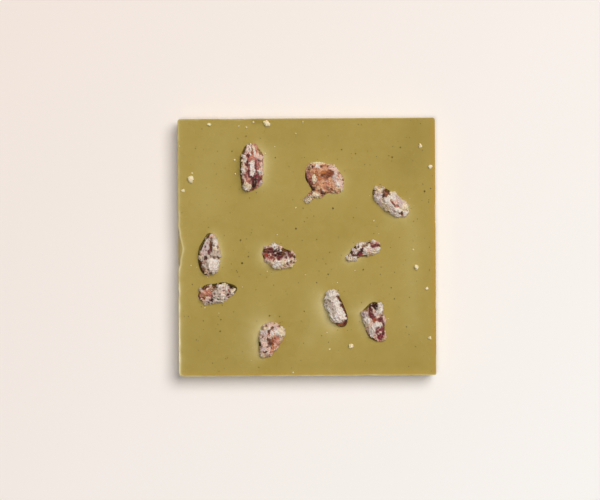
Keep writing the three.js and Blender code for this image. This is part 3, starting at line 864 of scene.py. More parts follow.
# %% What each nut looks like
# Along the left and lower outlines of most nuts, dark brown and black strokes are partly bare skin
# where the sugar ends and partly painted shadow in the gap beside the nut.
LOOKS = {  # x and y of its middle, turn in degrees, ground shade, strokes
    "sugared_nut_01": (-21.0, 31.0, 85, "rose", [
        ("salmon", 1.2, -0.2, 8.2, -0.2, 4.6), ("pink", 0.5, -2.0, 8.6, -2.3, 5.6),
        ("white", 0.25, -0.6, 8.6, -0.8, 4.8), ("russet", 0.2, 0.2, 7.6, 0.0, 5.2),
        ("pink", 0.25, 0.8, 6.4, 0.6, 4.0), ("white", 0.3, -1.5, 8.4, -1.6, 6.4),
        ("cream", 0.3, 0.6, 8.6, 0.7, 6.8), ("salmon", 0.5, 1.7, 8.0, 1.9, 5.0),
        ("white", 0.35, 1.1, 6.6, 1.3, 4.6), ("olive", 0.7, 3.1, 7.4, 3.0, 5.6),
        ("pink", 0.8, 2.0, 4.4, 3.4, 3.6), ("burgundy", 0.35, -1.8, 4.9, -1.5, 3.9),
        ("black", 0.45, 2.5, 2.9), ("white", 0.6, -3.2, 4.6, -2.8, 2.6),
        ("cream", 0.5, -3.6, 2.4, -3.2, 0.2), ("white", 0.45, -3.4, -0.6, -3.4, -2.2),
        ("burgundy", 0.45, -1.8, 2.4, -2.1, 0.4), ("burgundy", 0.5, -1.7, -1.0, -1.3, -3.2),
        ("rose", 0.3, -1.9, 0.0, -1.7, -0.8), ("pink", 0.3, -2.4, 0.6, -2.6, -1.4),
        ("white", 0.9, -0.1, 1.2, 0.1, -2.8), ("white", 0.5, -0.2, 2.6),
        ("burgundy", 0.35, 1.2, 2.6, 1.5, -1.6), ("pink", 0.8, 3.2, 1.2, 3.4, -2.2),
        ("rose", 0.3, 2.5, 0.8), ("burgundy", 0.3, 3.0, 0.2), ("white", 0.3, 2.4, -1.2, 2.6, -2.4),
        ("burgundy", 0.8, 1.2, -3.4, 2.9, -4.6), ("black", 0.9, 1.3, -4.8, 0.6, -7.0),
        ("burgundy", 0.35, 0.5, -3.4, 0.2, -5.0), ("magenta", 0.35, 1.6, -3.6, 2.2, -2.8),
        ("magenta", 0.3, 2.6, -5.0), ("pink", 0.3, 1.9, -4.2),
        ("lilac", 0.45, 3.5, -5.4, 2.6, -7.2), ("burgundy", 0.5, -0.6, -4.0, -0.8, -5.2),
        ("salmon", 0.5, -1.4, -4.6), ("pink", 0.5, -3.4, -3.9, -3.0, -5.4),
        ("cream", 1.5, -2.2, -7.5), ("white", 0.6, -2.4, -8.0), ("brown", 0.45, 0.3, -8.4),
        ("black", 0.45, -3.4, 8.0, -4.4, 3.4, -4.7, 0.2, -4.5, -3.4),
    ]),
    "sugared_nut_02": (7.4, 27.0, -14, "peach", [
        ("tan", 1.0, -6.3, 5.0), ("clay", 0.8, -6.6, 3.4), ("cream", 0.7, -3.2, 5.6, -1.0, 5.6),
        ("white", 0.8, -3.2, 4.0), ("yellow", 0.6, -5.4, 5.9, -0.4, 6.0, 4.4, 5.4),
        ("pink", 0.9, 1.9, 3.8, 3.6, 3.2), ("cream", 0.5, 3.2, 4.4), ("cream", 0.5, 5.4, 2.6),
        ("rose", 1.0, -6.8, 1.2, -5.9, -1.8), ("salmon", 0.5, -6.0, 0.2),
        ("pink", 1.6, 4.4, 1.0, 5.2, -3.0), ("lilac", 0.9, 3.2, 0.8, 3.8, -1.6),
        ("peach", 0.5, 5.2, 0.4), ("white", 0.7, 4.3, -2.0, 4.5, -3.6), ("cream", 0.5, 6.2, -0.6),
        ("orange", 1.0, -0.8, 1.6, 1.2, 1.8), ("orange", 0.5, -3.0, 1.0, -2.6, -0.8),
        ("olive", 0.4, -3.9, 0.9), ("cream", 0.7, -4.4, 0.4, -4.2, -1.6),
        ("russet", 1.1, 0.2, 0.2, 1.6, 1.6), ("brown", 0.6, 0.9, 0.1), ("brown", 0.5, -1.4, 0.6),
        ("peach", 1.6, -1.6, -3.4, 2.4, -3.8), ("salmon", 0.7, 0.6, -2.4), ("tan", 0.6, -2.8, -4.4),
        ("rose", 0.4, 0.6, -4.6), ("russet", 0.4, 2.2, -4.6), ("tan", 0.6, 3.4, -5.2, 5.0, -4.6),
        ("cream", 0.6, 6.2, -4.8), ("cream", 0.9, -4.4, -6.4, -3.2, -7.2), ("tan", 0.6, -2.2, -7.2),
        ("cream", 1.2, -6.2, -8.2, -7.2, -8.8), ("pink", 0.5, -1.0, -5.2),
        ("black", 0.45, -5.1, 4.3), ("black", 0.35, -6.9, 3.1), ("black", 0.4, -1.8, 4.2),
        ("russet", 0.3, 0.6, 4.2), ("brown", 0.55, -8.0, 1.6, -7.6, -0.6, -6.4, -2.6, -5.6, -3.8),
        ("black", 0.6, -4.9, -4.6), ("black", 0.55, -1.6, -5.9, -0.8, -6.3),
        ("brown", 0.4, -3.0, -5.2), ("rose", 0.35, 7.0, -2.4), ("russet", 0.3, 6.9, -0.8),
    ]),
    "sugared_nut_03": (32.3, 17.2, -40, "cream", [
        ("tan", 0.9, -4.0, 6.2), ("cream", 0.6, -4.6, 4.6), ("lilac", 1.3, -4.8, 2.6, -4.4, 0.4),
        ("white", 1.0, -4.6, 1.2), ("yellow", 0.4, -5.4, -0.2, -4.2, -1.4),
        ("clay", 0.5, -6.2, 4.4, -6.4, 2.8), ("brown", 1.25, -1.9, 3.4, -1.2, 4.2),
        ("russet", 0.6, -1.2, 3.4), ("black", 0.6, -2.6, 2.4), ("olive", 0.6, -0.8, 5.0),
        ("burgundy", 0.35, -2.5, 4.5), ("grey", 0.4, -2.6, 0.9, -1.9, 0.2),
        ("white", 1.0, -1.0, 0.6, 0.2, -0.8), ("lilac", 1.2, 2.2, 1.4, 4.6, -0.8),
        ("pink", 0.7, 2.2, 0.1), ("white", 0.7, 0.4, 2.2, 1.4, 1.2),
        ("rose", 0.4, 0.7, -0.2, 1.5, -1.0, 2.8, -1.5), ("brown", 0.25, 1.2, -0.9, 1.9, -1.4),
        ("clay", 0.3, 0.3, 0.6), ("white", 1.2, 1.4, -3.0, 3.2, -4.2),
        ("lilac", 0.4, 0.8, -2.4, 2.0, -3.4), ("cream", 0.8, 5.6, -1.2, 6.0, -3.0),
        ("yellow", 0.4, 6.2, -2.2), ("clay", 0.6, 4.3, -4.2), ("russet", 0.4, 4.5, -4.8),
        ("white", 0.6, 5.6, -4.3), ("olive", 0.4, -0.8, -3.7), ("clay", 0.3, -2.4, -2.2),
        ("tan", 0.3, -3.6, 3.2),
    ]),
    "sugared_nut_04": (-37.8, -2.9, 84, "grey", [
        ("lilac", 1.0, -1.4, 4.4, -1.9, 0.8), ("pink", 0.8, 0.5, 7.1), ("tan", 0.6, 1.7, 7.6),
        ("white", 0.6, 2.4, 5.4, 2.8, 3.6), ("tan", 0.5, 3.4, 4.6, 3.6, 2.4),
        ("cream", 0.7, 2.2, 2.4), ("clay", 0.4, 3.0, 1.2), ("pink", 0.8, -2.8, 0.6),
        ("cream", 0.5, -3.6, -0.6), ("pink", 0.7, -1.8, -2.3), ("white", 1.8, 1.4, -3.2, 1.7, -4.8),
        ("white", 0.7, 3.0, -2.6), ("grey", 0.7, -1.0, -3.7), ("clay", 0.9, -2.2, -5.6),
        ("tan", 0.5, -1.2, -6.4), ("pink", 0.6, -0.4, -7.2), ("tan", 0.5, 2.3, -7.5),
        ("brown", 0.5, 0.6, 5.4, 0.3, 1.8), ("burgundy", 0.35, 0.2, 2.4, -0.2, 0.6),
        ("brown", 0.4, 1.0, 6.4), ("olive", 0.35, 3.4, 3.2), ("brown", 0.3, -1.2, 2.1),
        ("brown", 0.3, -1.7, 3.3), ("brown", 0.3, 1.6, 3.6), ("black", 0.65, -1.9, -1.0),
        ("burgundy", 0.4, -1.0, -1.2), ("brown", 0.35, 0.6, -0.6), ("brown", 0.4, 1.8, -0.9),
        ("russet", 0.65, -3.4, -2.6, -3.3, -3.8), ("black", 0.35, -3.2, -3.4),
        ("brown", 0.45, 3.0, -0.8, 3.8, -1.4), ("brown", 0.4, -0.5, -5.8),
        ("burgundy", 0.5, 0.6, -7.3), ("brown", 0.45, 2.4, -6.9), ("brown", 0.4, -3.2, -6.0),
        ("brown", 0.45, 0.2, 8.5, -1.9, 5.6, -3.6, 2.6, -4.2, 0.4),
        ("brown", 0.5, -4.3, -2.0, -3.8, -5.2, -1.8, -7.8), ("brown", 0.5, 0.4, -8.3, 2.8, -7.8),
        ("brown", 0.4, 2.8, 7.0, 3.6, 5.2), ("brown", 0.35, 4.0, -4.6),
    ]),
    "sugared_nut_05": (-34.9, -17.6, 10, "grey", [
        ("salmon", 1.3, -5.6, -0.6, -3.4, 0.2), ("pink", 1.0, -5.2, -2.8, -3.6, -1.8),
        ("tan", 0.7, -5.6, -3.2), ("cream", 0.5, -5.2, -4.3), ("lilac", 0.6, -3.2, -3.3),
        ("olive", 0.4, -5.0, -0.9, -4.0, -1.0), ("russet", 0.3, -5.8, -1.6, -4.8, -2.0),
        ("rose", 0.4, -3.2, -0.6, -2.4, -1.4), ("pink", 0.4, -6.0, 0.6),
        ("russet", 0.5, -7.1, 0.4, -7.4, -1.4, -6.8, -3.0), ("clay", 0.8, -3.4, 2.6, -1.4, 1.8),
        ("brown", 0.6, -5.4, 1.8, -3.6, 2.0), ("pink", 0.35, -3.8, 1.4, -2.8, 2.6),
        ("brown", 0.5, -1.4, 3.0, -0.4, 2.0), ("white", 0.6, 0.8, 2.2, 2.4, 2.8),
        ("pink", 0.9, 1.9, 0.2), ("white", 0.8, 2.0, -1.2), ("grey", 0.4, 0.6, 1.4, 1.2, 0.4),
        ("white", 0.7, -0.2, -2.4), ("cream", 0.6, 2.0, -3.0), ("lilac", 0.6, 3.2, -2.0),
        ("yellow", 0.4, 3.0, 3.5), ("white", 0.5, 3.6, 1.8), ("black", 0.6, -2.2, -2.7),
        ("black", 0.35, -3.2, -3.9), ("burgundy", 0.3, -1.2, -0.5), ("brown", 0.3, 0.4, 0.0),
        ("brown", 0.3, 1.2, -0.6), ("black", 0.25, 2.4, 0.9), ("burgundy", 0.25, 0.2, -1.4),
        ("black", 0.25, -0.4, 1.0), ("brown", 0.3, 1.0, -3.6), ("burgundy", 0.5, 4.2, -0.4),
        ("magenta", 0.35, 3.6, -0.9), ("burgundy", 0.35, 4.9, 0.6), ("rose", 0.5, 4.6, 1.4),
        ("pink", 0.5, 5.2, -0.8), ("russet", 0.4, 4.8, -2.0), ("cream", 0.7, 6.4, 0.9),
        ("white", 0.4, 5.8, 0.0), ("black", 0.65, 4.8, 2.8, 6.4, 2.4),
        ("black", 0.5, 7.5, 1.4, 7.2, -0.4, 6.4, -1.4), ("brown", 0.5, -2.6, 3.6, 1.0, 4.2),
        ("brown", 0.4, -5.4, 2.4), ("brown", 0.25, 1.0, 1.8), ("clay", 0.25, 2.7, -0.4),
        ("brown", 0.25, 0.1, -2.7), ("brown", 0.22, 3.4, 0.4), ("clay", 0.25, -0.6, 1.8),
        ("brown", 0.25, -1.8, 0.7), ("clay", 0.22, 2.2, 2.0), ("brown", 0.25, 2.8, -2.6),
    ]),
    "sugared_nut_06": (-10.9, -3.9, -14, "pink", [
        ("white", 0.9, -1.8, 4.6, -1.4, 3.3), ("grey", 0.6, -0.4, 3.8), ("cream", 0.9, -2.1, -2.1),
        ("white", 1.0, -0.6, -2.3, -1.2, -3.0), ("yellow", 0.8, 0.1, -4.6),
        ("cream", 0.9, 1.6, -1.9), ("tan", 0.8, 2.0, -3.2), ("cream", 0.6, -3.8, -1.7),
        ("pink", 1.1, 5.0, -0.4), ("white", 0.9, 3.6, -1.2), ("cream", 0.6, 5.8, -1.2),
        ("clay", 0.5, 4.6, -2.0), ("yellow", 0.5, 4.1, -3.7, 5.5, -3.0), ("lilac", 0.9, 2.8, 1.0),
        ("rose", 0.9, -5.0, 1.2), ("rose", 0.8, -3.9, 0.1), ("brown", 0.9, -5.4, 2.6, -4.2, 2.9),
        ("burgundy", 0.9, -3.2, 2.4), ("red", 0.7, -4.6, 0.8), ("red", 0.6, -2.8, 0.0),
        ("salmon", 0.4, -3.6, 1.6), ("black", 0.5, -4.0, 1.9), ("russet", 0.6, -5.9, 0.0),
        ("rose", 0.6, -2.4, -0.8), ("burgundy", 0.95, -1.6, 1.4, 0.8, 1.2),
        ("black", 0.6, -1.8, 2.2, -0.4, 2.9), ("black", 0.6, -0.9, 0.8, 0.6, 1.6, 1.4, 2.4),
        ("pink", 0.35, -1.0, 1.7), ("white", 0.35, 0.4, 2.6), ("brown", 0.9, 1.8, 2.9, 3.4, 2.4),
        ("brown", 0.7, 1.6, 1.1), ("burgundy", 0.6, 3.5, 2.0, 4.6, 0.7), ("lilac", 0.5, 2.9, 1.5),
        ("brown", 0.5, 4.6, 1.7, 6.4, 0.3), ("burgundy", 0.5, 2.5, -0.1),
        ("burgundy", 0.6, -0.4, -0.3, 1.0, -0.1), ("brown", 0.4, 6.2, -2.2),
        ("brown", 0.4, -5.7, -1.6), ("clay", 0.4, -2.8, -3.0), ("brown", 0.4, 4.9, -1.5),
        ("brown", 0.3, 3.2, -2.6),
    ]),
    "sugared_nut_07": (22.5, -1.5, 23, "white", [
        ("cream", 0.7, -3.2, 3.0), ("white", 1.0, -1.4, 2.9), ("tan", 0.7, -4.1, 2.2),
        ("clay", 0.7, -0.4, 1.6, 0.6, 2.4), ("lilac", 1.0, -3.5, -0.5), ("cream", 0.6, -3.1, 0.6),
        ("tan", 0.8, -6.0, -0.6), ("cream", 1.0, -5.8, -3.2), ("lilac", 0.9, 2.9, 0.9),
        ("cream", 0.9, 3.4, -0.3), ("tan", 0.8, 1.7, -1.3), ("pink", 0.6, 1.2, 0.2),
        ("cream", 0.6, 5.3, 2.9), ("tan", 0.6, 6.4, 2.3), ("clay", 0.7, 0.4, -2.4, -2.4, -2.5),
        ("rose", 0.9, 3.0, 2.0, 4.8, 2.4), ("burgundy", 0.5, 2.6, 1.5, 3.8, 2.0, 5.2, 2.4),
        ("rose", 0.4, 5.9, 1.7), ("pink", 0.3, 3.4, 2.6), ("russet", 0.5, 1.6, 3.2, 2.8, 2.9),
        ("orange", 0.4, 1.0, 3.8), ("brown", 0.4, 0.6, 3.0), ("brown", 0.4, -4.4, 1.5, -3.4, 1.2),
        ("brown", 0.35, -2.4, 1.4), ("brown", 0.4, -5.5, 0.2, -4.9, -1.9, -3.1, -1.7),
        ("black", 0.6, -2.6, -1.2, -1.2, 0.2), ("magenta", 0.85, -1.9, -1.4),
        ("red", 0.5, -1.0, -1.4), ("salmon", 0.35, -0.5, -1.6), ("burgundy", 0.4, -0.8, 0.6),
        ("white", 0.5, 0.3, -0.4), ("russet", 0.4, 6.9, 2.0), ("brown", 0.3, -6.4, -2.0),
    ]),
    "sugared_nut_08": (11.1, -24.3, 116, "white", [
        ("cream", 1.0, -2.4, 6.8), ("white", 1.3, -1.9, 6.0), ("grey", 0.6, -1.8, 4.3, -0.8, 4.6),
        ("grey", 0.5, -3.2, 3.2, -3.0, 1.6), ("grey", 0.5, -2.4, 3.0, -1.6, 1.2, -0.4, -1.2),
        ("lilac", 0.4, -1.2, 2.6, 0.2, -0.2), ("white", 1.2, 0.6, 1.5, 1.4, -1.0),
        ("grey", 0.4, -2.0, 0.2, -1.0, -2.0), ("white", 1.5, 1.8, -2.6),
        ("lilac", 0.4, 0.4, -2.2, 1.2, -3.8), ("cream", 0.5, 3.6, -2.8), ("white", 0.9, 0.6, -4.4),
        ("tan", 0.4, -0.4, -5.4), ("clay", 0.35, 2.4, -4.2),
        ("russet", 1.1, 0.6, -6.2, 2.6, -6.2, 4.0, -5.2), ("orange", 0.6, 1.5, -6.0, 2.2, -6.8),
        ("salmon", 0.45, 0.6, -6.5), ("burgundy", 0.7, 3.8, -5.4, 4.6, -4.2),
        ("orange", 0.35, 3.0, -6.8),
        ("burgundy", 0.75, 0.8, 5.0, 1.8, 3.4, 2.6, 1.2, 3.5, -0.8, 4.2, -2.6),
        ("black", 0.4, 1.4, 3.6, 2.2, 1.8), ("russet", 0.4, 3.0, 0.2), ("rose", 0.4, 2.2, 2.6),
        ("brown", 0.35, -4.3, 5.4, -4.4, 2.6), ("brown", 0.4, -3.4, -0.8, -2.0, -3.6, -0.9, -5.6),
    ]),
    "sugared_nut_09": (25.7, -29.1, 97, "pink", [
        ("grey", 1.4, -2.8, 1.8), ("lilac", 1.2, -3.6, 3.0), ("white", 1.2, -2.4, 0.4),
        ("tan", 0.7, -4.4, 0.4), ("cream", 0.9, 2.6, 7.0), ("white", 1.2, 2.4, 5.8, 1.7, 4.2),
        ("lilac", 0.9, 1.0, 2.9), ("clay", 0.8, -3.1, 4.4), ("olive", 0.7, -3.0, 5.2),
        ("pink", 0.9, -1.3, -1.0), ("cream", 0.8, -2.9, -1.2), ("pink", 0.7, 1.4, 1.7),
        ("white", 1.1, 0.6, -1.3, 2.0, -1.7), ("white", 0.9, -0.6, -3.0, -0.2, -4.6),
        ("lilac", 0.5, 0.6, -4.2), ("pink", 0.7, 0.7, -5.8), ("tan", 0.7, 3.7, -6.4),
        ("salmon", 0.6, 2.3, -7.4), ("burgundy", 0.75, -1.3, 5.2, -1.3, 3.0, -0.2, 1.6),
        ("black", 1.2, 0.8, 7.4, 0.4, 5.8), ("black", 0.8, -1.5, 6.0), ("black", 0.4, -1.6, 4.0),
        ("pink", 0.3, -0.4, 5.6, -0.2, 4.2), ("red", 0.6, 0.2, 0.6, 1.6, 0.8),
        ("orange", 0.4, 0.1, 0.1), ("burgundy", 0.7, 2.3, 0.6),
        ("burgundy", 0.7, 2.9, 1.2, 3.8, -0.8, 4.0, -3.2), ("brown", 0.5, 3.3, 2.4),
        ("clay", 0.4, 3.9, 3.6), ("magenta", 1.35, 2.2, -3.2, 2.6, -5.0),
        ("burgundy", 0.8, 3.4, -4.4), ("magenta", 0.9, 2.2, -6.2), ("pink", 0.35, 1.6, -3.0),
        ("pink", 0.35, 2.8, -4.0), ("pink", 0.3, 1.8, -4.8), ("rose", 0.3, 2.8, -5.8),
        ("pink", 0.3, 2.4, -2.4), ("brown", 0.4, -4.4, -1.4, -3.2, -3.6, -1.2, -6.0, 0.8, -7.5),
    ]),
    "sugared_nut_10": (-14.4, -36.4, 68, "pink", [
        ("white", 1.3, -2.6, 3.8, -1.6, 4.8), ("tan", 0.7, -1.4, 5.6, -2.8, 4.6),
        ("cream", 0.5, -2.0, 4.8), ("lilac", 0.9, -2.2, 3.0), ("pink", 0.7, -3.4, 2.0),
        ("lilac", 0.9, 1.6, 4.8), ("white", 0.9, 2.6, 3.4), ("cream", 1.0, 4.2, 5.2, 4.6, 2.6),
        ("tan", 0.6, 5.0, 1.6), ("grey", 0.5, 2.6, 2.4, 3.4, 1.6), ("white", 0.5, 0.8, 3.2),
        ("cream", 0.6, 1.0, 2.0), ("grey", 0.5, -3.0, 0.8, -2.0, 0.2), ("pink", 0.9, -2.4, -1.4),
        ("lilac", 0.7, -2.6, -3.0), ("clay", 0.35, -3.2, -2.2),
        ("salmon", 1.3, 2.0, 0.8, 2.8, -0.4), ("peach", 0.9, 1.4, -2.0, 1.2, -3.6),
        ("salmon", 0.6, 0.4, -4.2), ("pink", 0.4, 2.4, -1.4), ("cream", 0.3, 1.4, -3.0),
        ("tan", 0.5, 3.8, 0.6), ("peach", 0.5, 3.0, -1.6), ("brown", 0.8, -0.5, -0.1, 0.0, -1.2),
        ("brown", 0.4, 1.0, -1.2), ("brown", 0.35, -1.0, 0.8), ("orange", 0.5, 0.8, 0.6),
        ("russet", 0.6, 0.9, -0.4), ("russet", 0.4, 1.6, 1.0), ("black", 0.4, -0.4, -0.9),
        ("orange", 0.35, 0.6, -1.6), ("pink", 0.3, -0.6, 0.9), ("brown", 0.35, -1.2, -2.2),
        ("russet", 0.3, 0.2, -2.8), ("brown", 0.4, 1.1, 5.8, -0.6, 3.5), ("brown", 0.35, 3.5, 5.9),
        ("brown", 0.35, -1.9, 5.9), ("grey", 0.4, -1.2, 1.8), ("brown", 0.3, -2.9, 1.6),
        ("brown", 0.45, -4.4, 0.4, -4.0, -1.6), ("brown", 0.4, -2.3, -4.2, -1.5, -3.9),
        ("cream", 0.8, -3.0, -5.6), ("tan", 0.5, -2.0, -5.4), ("brown", 0.5, -1.3, -6.6),
        ("salmon", 0.4, -0.4, -5.4),
    ]),
}

# %% [markdown]
# The strokes would have neat edges, so every point is first moved a little by noise, which
# makes them ragged, as broken sugar is. Each stroke then covers what lies under it and fades at
# its edge. Last, streaks along the nut make the sugar thicker or thinner, as it breaks off the
# grooves of the skin.

# %% Paint by strokes
STROKE_REACH = 1.35  # a stroke ends this many half widths from its path,
STROKE_FADE = 0.5  # fading over this many
EDGE_WANDER = ((1.6, 0.45), (0.7, 0.28), (0.32, 0.2))  # size of the noise, how far it reaches
STREAK_LENGTH = 1.9
STREAK_WIDTH = 0.7
STREAK_DEPTH = 0.34
STREAK_NOISE = (0.7, 2.0, 3)  # roughness, lacunarity and octaves
NOISE_SEED = 1  # noise_vector starts from this seed, and otherwise from the clock

noise.seed_set(NOISE_SEED)


def ragged(at):
    """Places moved a little by noise."""
    moved = at.copy()
    for size, reach in EDGE_WANDER:
        shift = [noise.noise_vector(Vector((x / size, y / size, size))) for x, y in at]
        moved += np.array(shift)[:, :2] * reach
    return moved


def streaks(at, turn):
    """Noise, mostly from -1 to 1, that is longer along the nut than across it."""
    along = direction(turn)
    across = np.array([-along[1], along[0]])
    own = np.stack([at @ along / STREAK_LENGTH, at @ across / STREAK_WIDTH], axis=1)
    return np.array([noise.fractal(Vector((u, v, turn)), *STREAK_NOISE) for u, v in own])


def paint_strokes(at, turn, ground, strokes):
    """Light values and sugar thickness of each place, after all strokes."""
    paint = np.tile(shade(ground), (len(at), 1))
    moved = ragged(at)
    for name, radius, *path in strokes:
        inside = STROKE_REACH - from_path(moved, path) / radius
        share = np.clip(inside / STROKE_FADE, 0, 1)[:, None]
        paint = paint * (1 - share) + shade(name) * share
    paint[:, 3] += STREAK_DEPTH * streaks(at, turn)
    return paint


# %% [markdown]
# A nut is two pieces. The kernel is a copy of the nut's solid, remeshed finely, smoothed and
# drawn in a little. The crust starts as the same copy. It is pushed in or out by the painted
# thickness, then by chunks, grit and crystals. Where it dips below the kernel the skin shows,
# with a true edge of sugar round it. How thick it lies after all that is measured and stored.

# %% Kernel and crust of each nut
VOXEL = 0.27
KERNEL_SHRINK = 0.3
DEEPEST = 0.8  # how far the crust is drawn in before the painted thickness brings it out
THICKNESS_SPAN = 1.6
CHUNK_SIZE = 1.5
CHUNK_HEIGHT = 0.9
GRIT_SIZE = 0.6
GRIT_HEIGHT = 0.46
CRYSTAL_SIZE = 0.5
CRYSTAL_HEIGHT = 0.22
WRINKLE_SIZE = 1.0
WRINKLE_HEIGHT = 0.35
BARE_BELOW = 0.2  # the skin shows its own colour where the sugar is thinner than this,
BARE_FADE = 0.15  # and passes over this thickness into the dark of a pit
PIT = (0.4, 0.25, 0.19)  # the share of each light that a pit in thick sugar gives back
PIECES = {}

chunk_texture = clouds("sugar_chunks", CHUNK_SIZE, 2)
grit_texture = clouds("sugar_grit", GRIT_SIZE, 2)
crystal_texture = bpy.data.textures.new("sugar_crystals", "VORONOI")
crystal_texture.noise_scale = CRYSTAL_SIZE * MM
wrinkle_texture = clouds("skin_wrinkles", WRINKLE_SIZE, 2)


def fine_copy(node, name):
    """A fine, smooth copy of a nut's solid."""
    piece = copy_of(node, name)
    modify(piece, "REMESH", mode="VOXEL", voxel_size=VOXEL * MM)
    modify(piece, "SMOOTH", factor=0.5, iterations=6)
    return piece


def sugar_depth(crust, kernel):
    """How many millimetres each point of the crust stands above the kernel."""
    tree = solid_tree(kernel)
    depth = np.empty(len(crust.data.vertices))
    for index, vertex in enumerate(crust.data.vertices):
        nearest, normal, _, _ = tree.find_nearest(vertex.co)
        depth[index] = (vertex.co - nearest).dot(normal) / MM
    return depth


def paint_nut_place(piece, middle, turn):
    """Stores each point's place along, across and above the nut, for streaks that follow it."""
    at = places(piece) - np.array([*middle, FACE])
    along = np.append(direction(turn), 0)
    across = np.array([-along[1], along[0], 0])
    layer = piece.data.attributes.new("nut_place", "FLOAT_VECTOR", "POINT")
    own = np.stack([at @ along, at @ across, at[:, 2]], axis=1) * MM
    layer.data.foreach_set("vector", own.astype(np.float32).ravel())


for node in NUTS:
    middle_x, middle_y, turn, ground, strokes = LOOKS[node]
    middle = np.array([middle_x, middle_y])
    number = node[-2:]

    kernel = fine_copy(node, "kernel_" + number)
    modify(kernel, "DISPLACE", strength=-KERNEL_SHRINK * MM, mid_level=0)
    relief(kernel, wrinkle_texture, WRINKLE_HEIGHT)
    paint = paint_strokes(places(kernel)[:, :2] - middle, turn, ground, strokes)
    bare = np.clip((BARE_BELOW - paint[:, 3]) / BARE_FADE, 0, 1)[:, None]
    paint_colours(kernel, "skin_tint", paint[:, :3] * (bare + np.array(PIT) * (1 - bare)))
    kernel.data.materials.append(skin_finish)

    crust = fine_copy(node, "sugar_" + number)
    modify(crust, "SUBSURF", levels=1, render_levels=1)
    paint = paint_strokes(places(crust)[:, :2] - middle, turn, ground, strokes)
    paint_colours(crust, "sugar_tint", paint[:, :3])
    thickness = paint[:, 3] + DEEPEST - KERNEL_SHRINK
    paint_group(crust, "thickness", np.clip(thickness / THICKNESS_SPAN, 0, 1))
    modify(crust, "DISPLACE", strength=-DEEPEST * MM, mid_level=0)
    modify(crust, "DISPLACE", strength=THICKNESS_SPAN * MM, mid_level=0, vertex_group="thickness")
    relief(crust, chunk_texture, CHUNK_HEIGHT)
    relief(crust, grit_texture, GRIT_HEIGHT)
    relief(crust, crystal_texture, CRYSTAL_HEIGHT)
    paint_values(crust, "sugar_depth", sugar_depth(crust, kernel))
    crust.data.materials.append(sugar_finish)

    for piece in (kernel, crust):
        paint_nut_place(piece, middle, turn)
        piece.vertex_groups.clear()
        only(piece)
        bpy.ops.object.shade_smooth()
    PIECES[node] = (kernel, crust)
    print(node, "kernel", triangles(kernel), "crust", triangles(crust), "triangles")

# %% [markdown]
# ## Grains, crumbs and flecks
# Single grains of sugar stand on the crust. A small Geometry Nodes tree scatters them over a
# joined copy of all crusts, only where the sugar is thick and above the chocolate, and makes
# them real mesh. Each takes the painted colour of the place that it stands on.

# %% Sugar grains
GRAIN_WIDTH = 0.28
GRAIN_SIZES = (0.55, 1.25)  # smallest and largest, as a share of the width
GRAINS_PER_SQUARE_MM = 1.6
GRAIN_LEAST_DEPTH = 0.15  # no grains where the sugar is thinner,
GRAIN_LEAST_HEIGHT = FACE - 0.2  # or lower down in the pocket
FACES_OF_A_GRAIN = 20


def scatter_tree(look):
    """A node tree that puts grains on a surface and realizes them."""
    tree = bpy.data.node_groups.new("scatter_grains", "GeometryNodeTree")
    tree.interface.new_socket("Geometry", in_out="INPUT", socket_type="NodeSocketGeometry")
    tree.interface.new_socket("Geometry", in_out="OUTPUT", socket_type="NodeSocketGeometry")

    def add(kind, inputs=(), **settings):
        return add_node(tree, kind, inputs, **settings)

    surface = add("NodeGroupInput")
    depth = add("GeometryNodeInputNamedAttribute", {"Name": "sugar_depth"}, data_type="FLOAT")
    height = add("ShaderNodeSeparateXYZ", {0: add("GeometryNodeInputPosition").outputs[0]})
    thick = add("ShaderNodeMath", {0: depth.outputs[0], 1: GRAIN_LEAST_DEPTH},
                operation="GREATER_THAN")
    above = add("ShaderNodeMath", {0: height.outputs["Z"], 1: GRAIN_LEAST_HEIGHT * MM},
                operation="GREATER_THAN")
    both = add("ShaderNodeMath", {0: thick.outputs[0], 1: above.outputs[0]}, operation="MULTIPLY")
    density = add("ShaderNodeMath", {0: both.outputs[0], 1: GRAINS_PER_SQUARE_MM / MM**2},
                  operation="MULTIPLY")
    points = add("GeometryNodeDistributePointsOnFaces",
                 {"Mesh": surface.outputs[0], "Density": density.outputs[0], "Seed": 5})
    stone = add("GeometryNodeMeshIcoSphere", {"Radius": GRAIN_WIDTH / 2 * MM, "Subdivisions": 1})

    def random_vector(low, high, seed):
        return add("FunctionNodeRandomValue", {"Min": (low,) * 3, "Max": (high,) * 3, "Seed": seed},
                   data_type="FLOAT_VECTOR")

    angle = random_vector(0, 6.28, seed=2)
    size = random_vector(*GRAIN_SIZES, seed=3)
    placed = add("GeometryNodeInstanceOnPoints",
                 {"Points": points.outputs["Points"], "Instance": stone.outputs["Mesh"],
                  "Rotation": angle.outputs[0], "Scale": size.outputs[0]})
    real = add("GeometryNodeRealizeInstances", {0: placed.outputs[0]})
    flat = add("GeometryNodeSetShadeSmooth", {0: real.outputs[0], "Shade Smooth": False})
    dressed = add("GeometryNodeSetMaterial", {0: flat.outputs[0], "Material": look})
    add("NodeGroupOutput", {0: dressed.outputs[0]})
    return tree


bpy.ops.object.select_all(action="DESELECT")
for _, crust in PIECES.values():
    crust.select_set(True)
bpy.context.view_layer.objects.active = PIECES[NUTS[0]][1]
bpy.ops.object.duplicate()
bpy.ops.object.join()
grains = bpy.context.object
grains.name = "sugar_grains"
modify(grains, "NODES", node_group=scatter_tree(grain_finish))
print("grains:", triangles(grains) // FACES_OF_A_GRAIN)

# %% [markdown]
# Crumbs lie on the face: broken sugar and a little dust. The ten largest stand where the solid
# has them. Each is a ball added in edit mode, so that all become one mesh, and a relief then
# makes them angular. A ray sent straight down finds the chocolate that each one rests on.

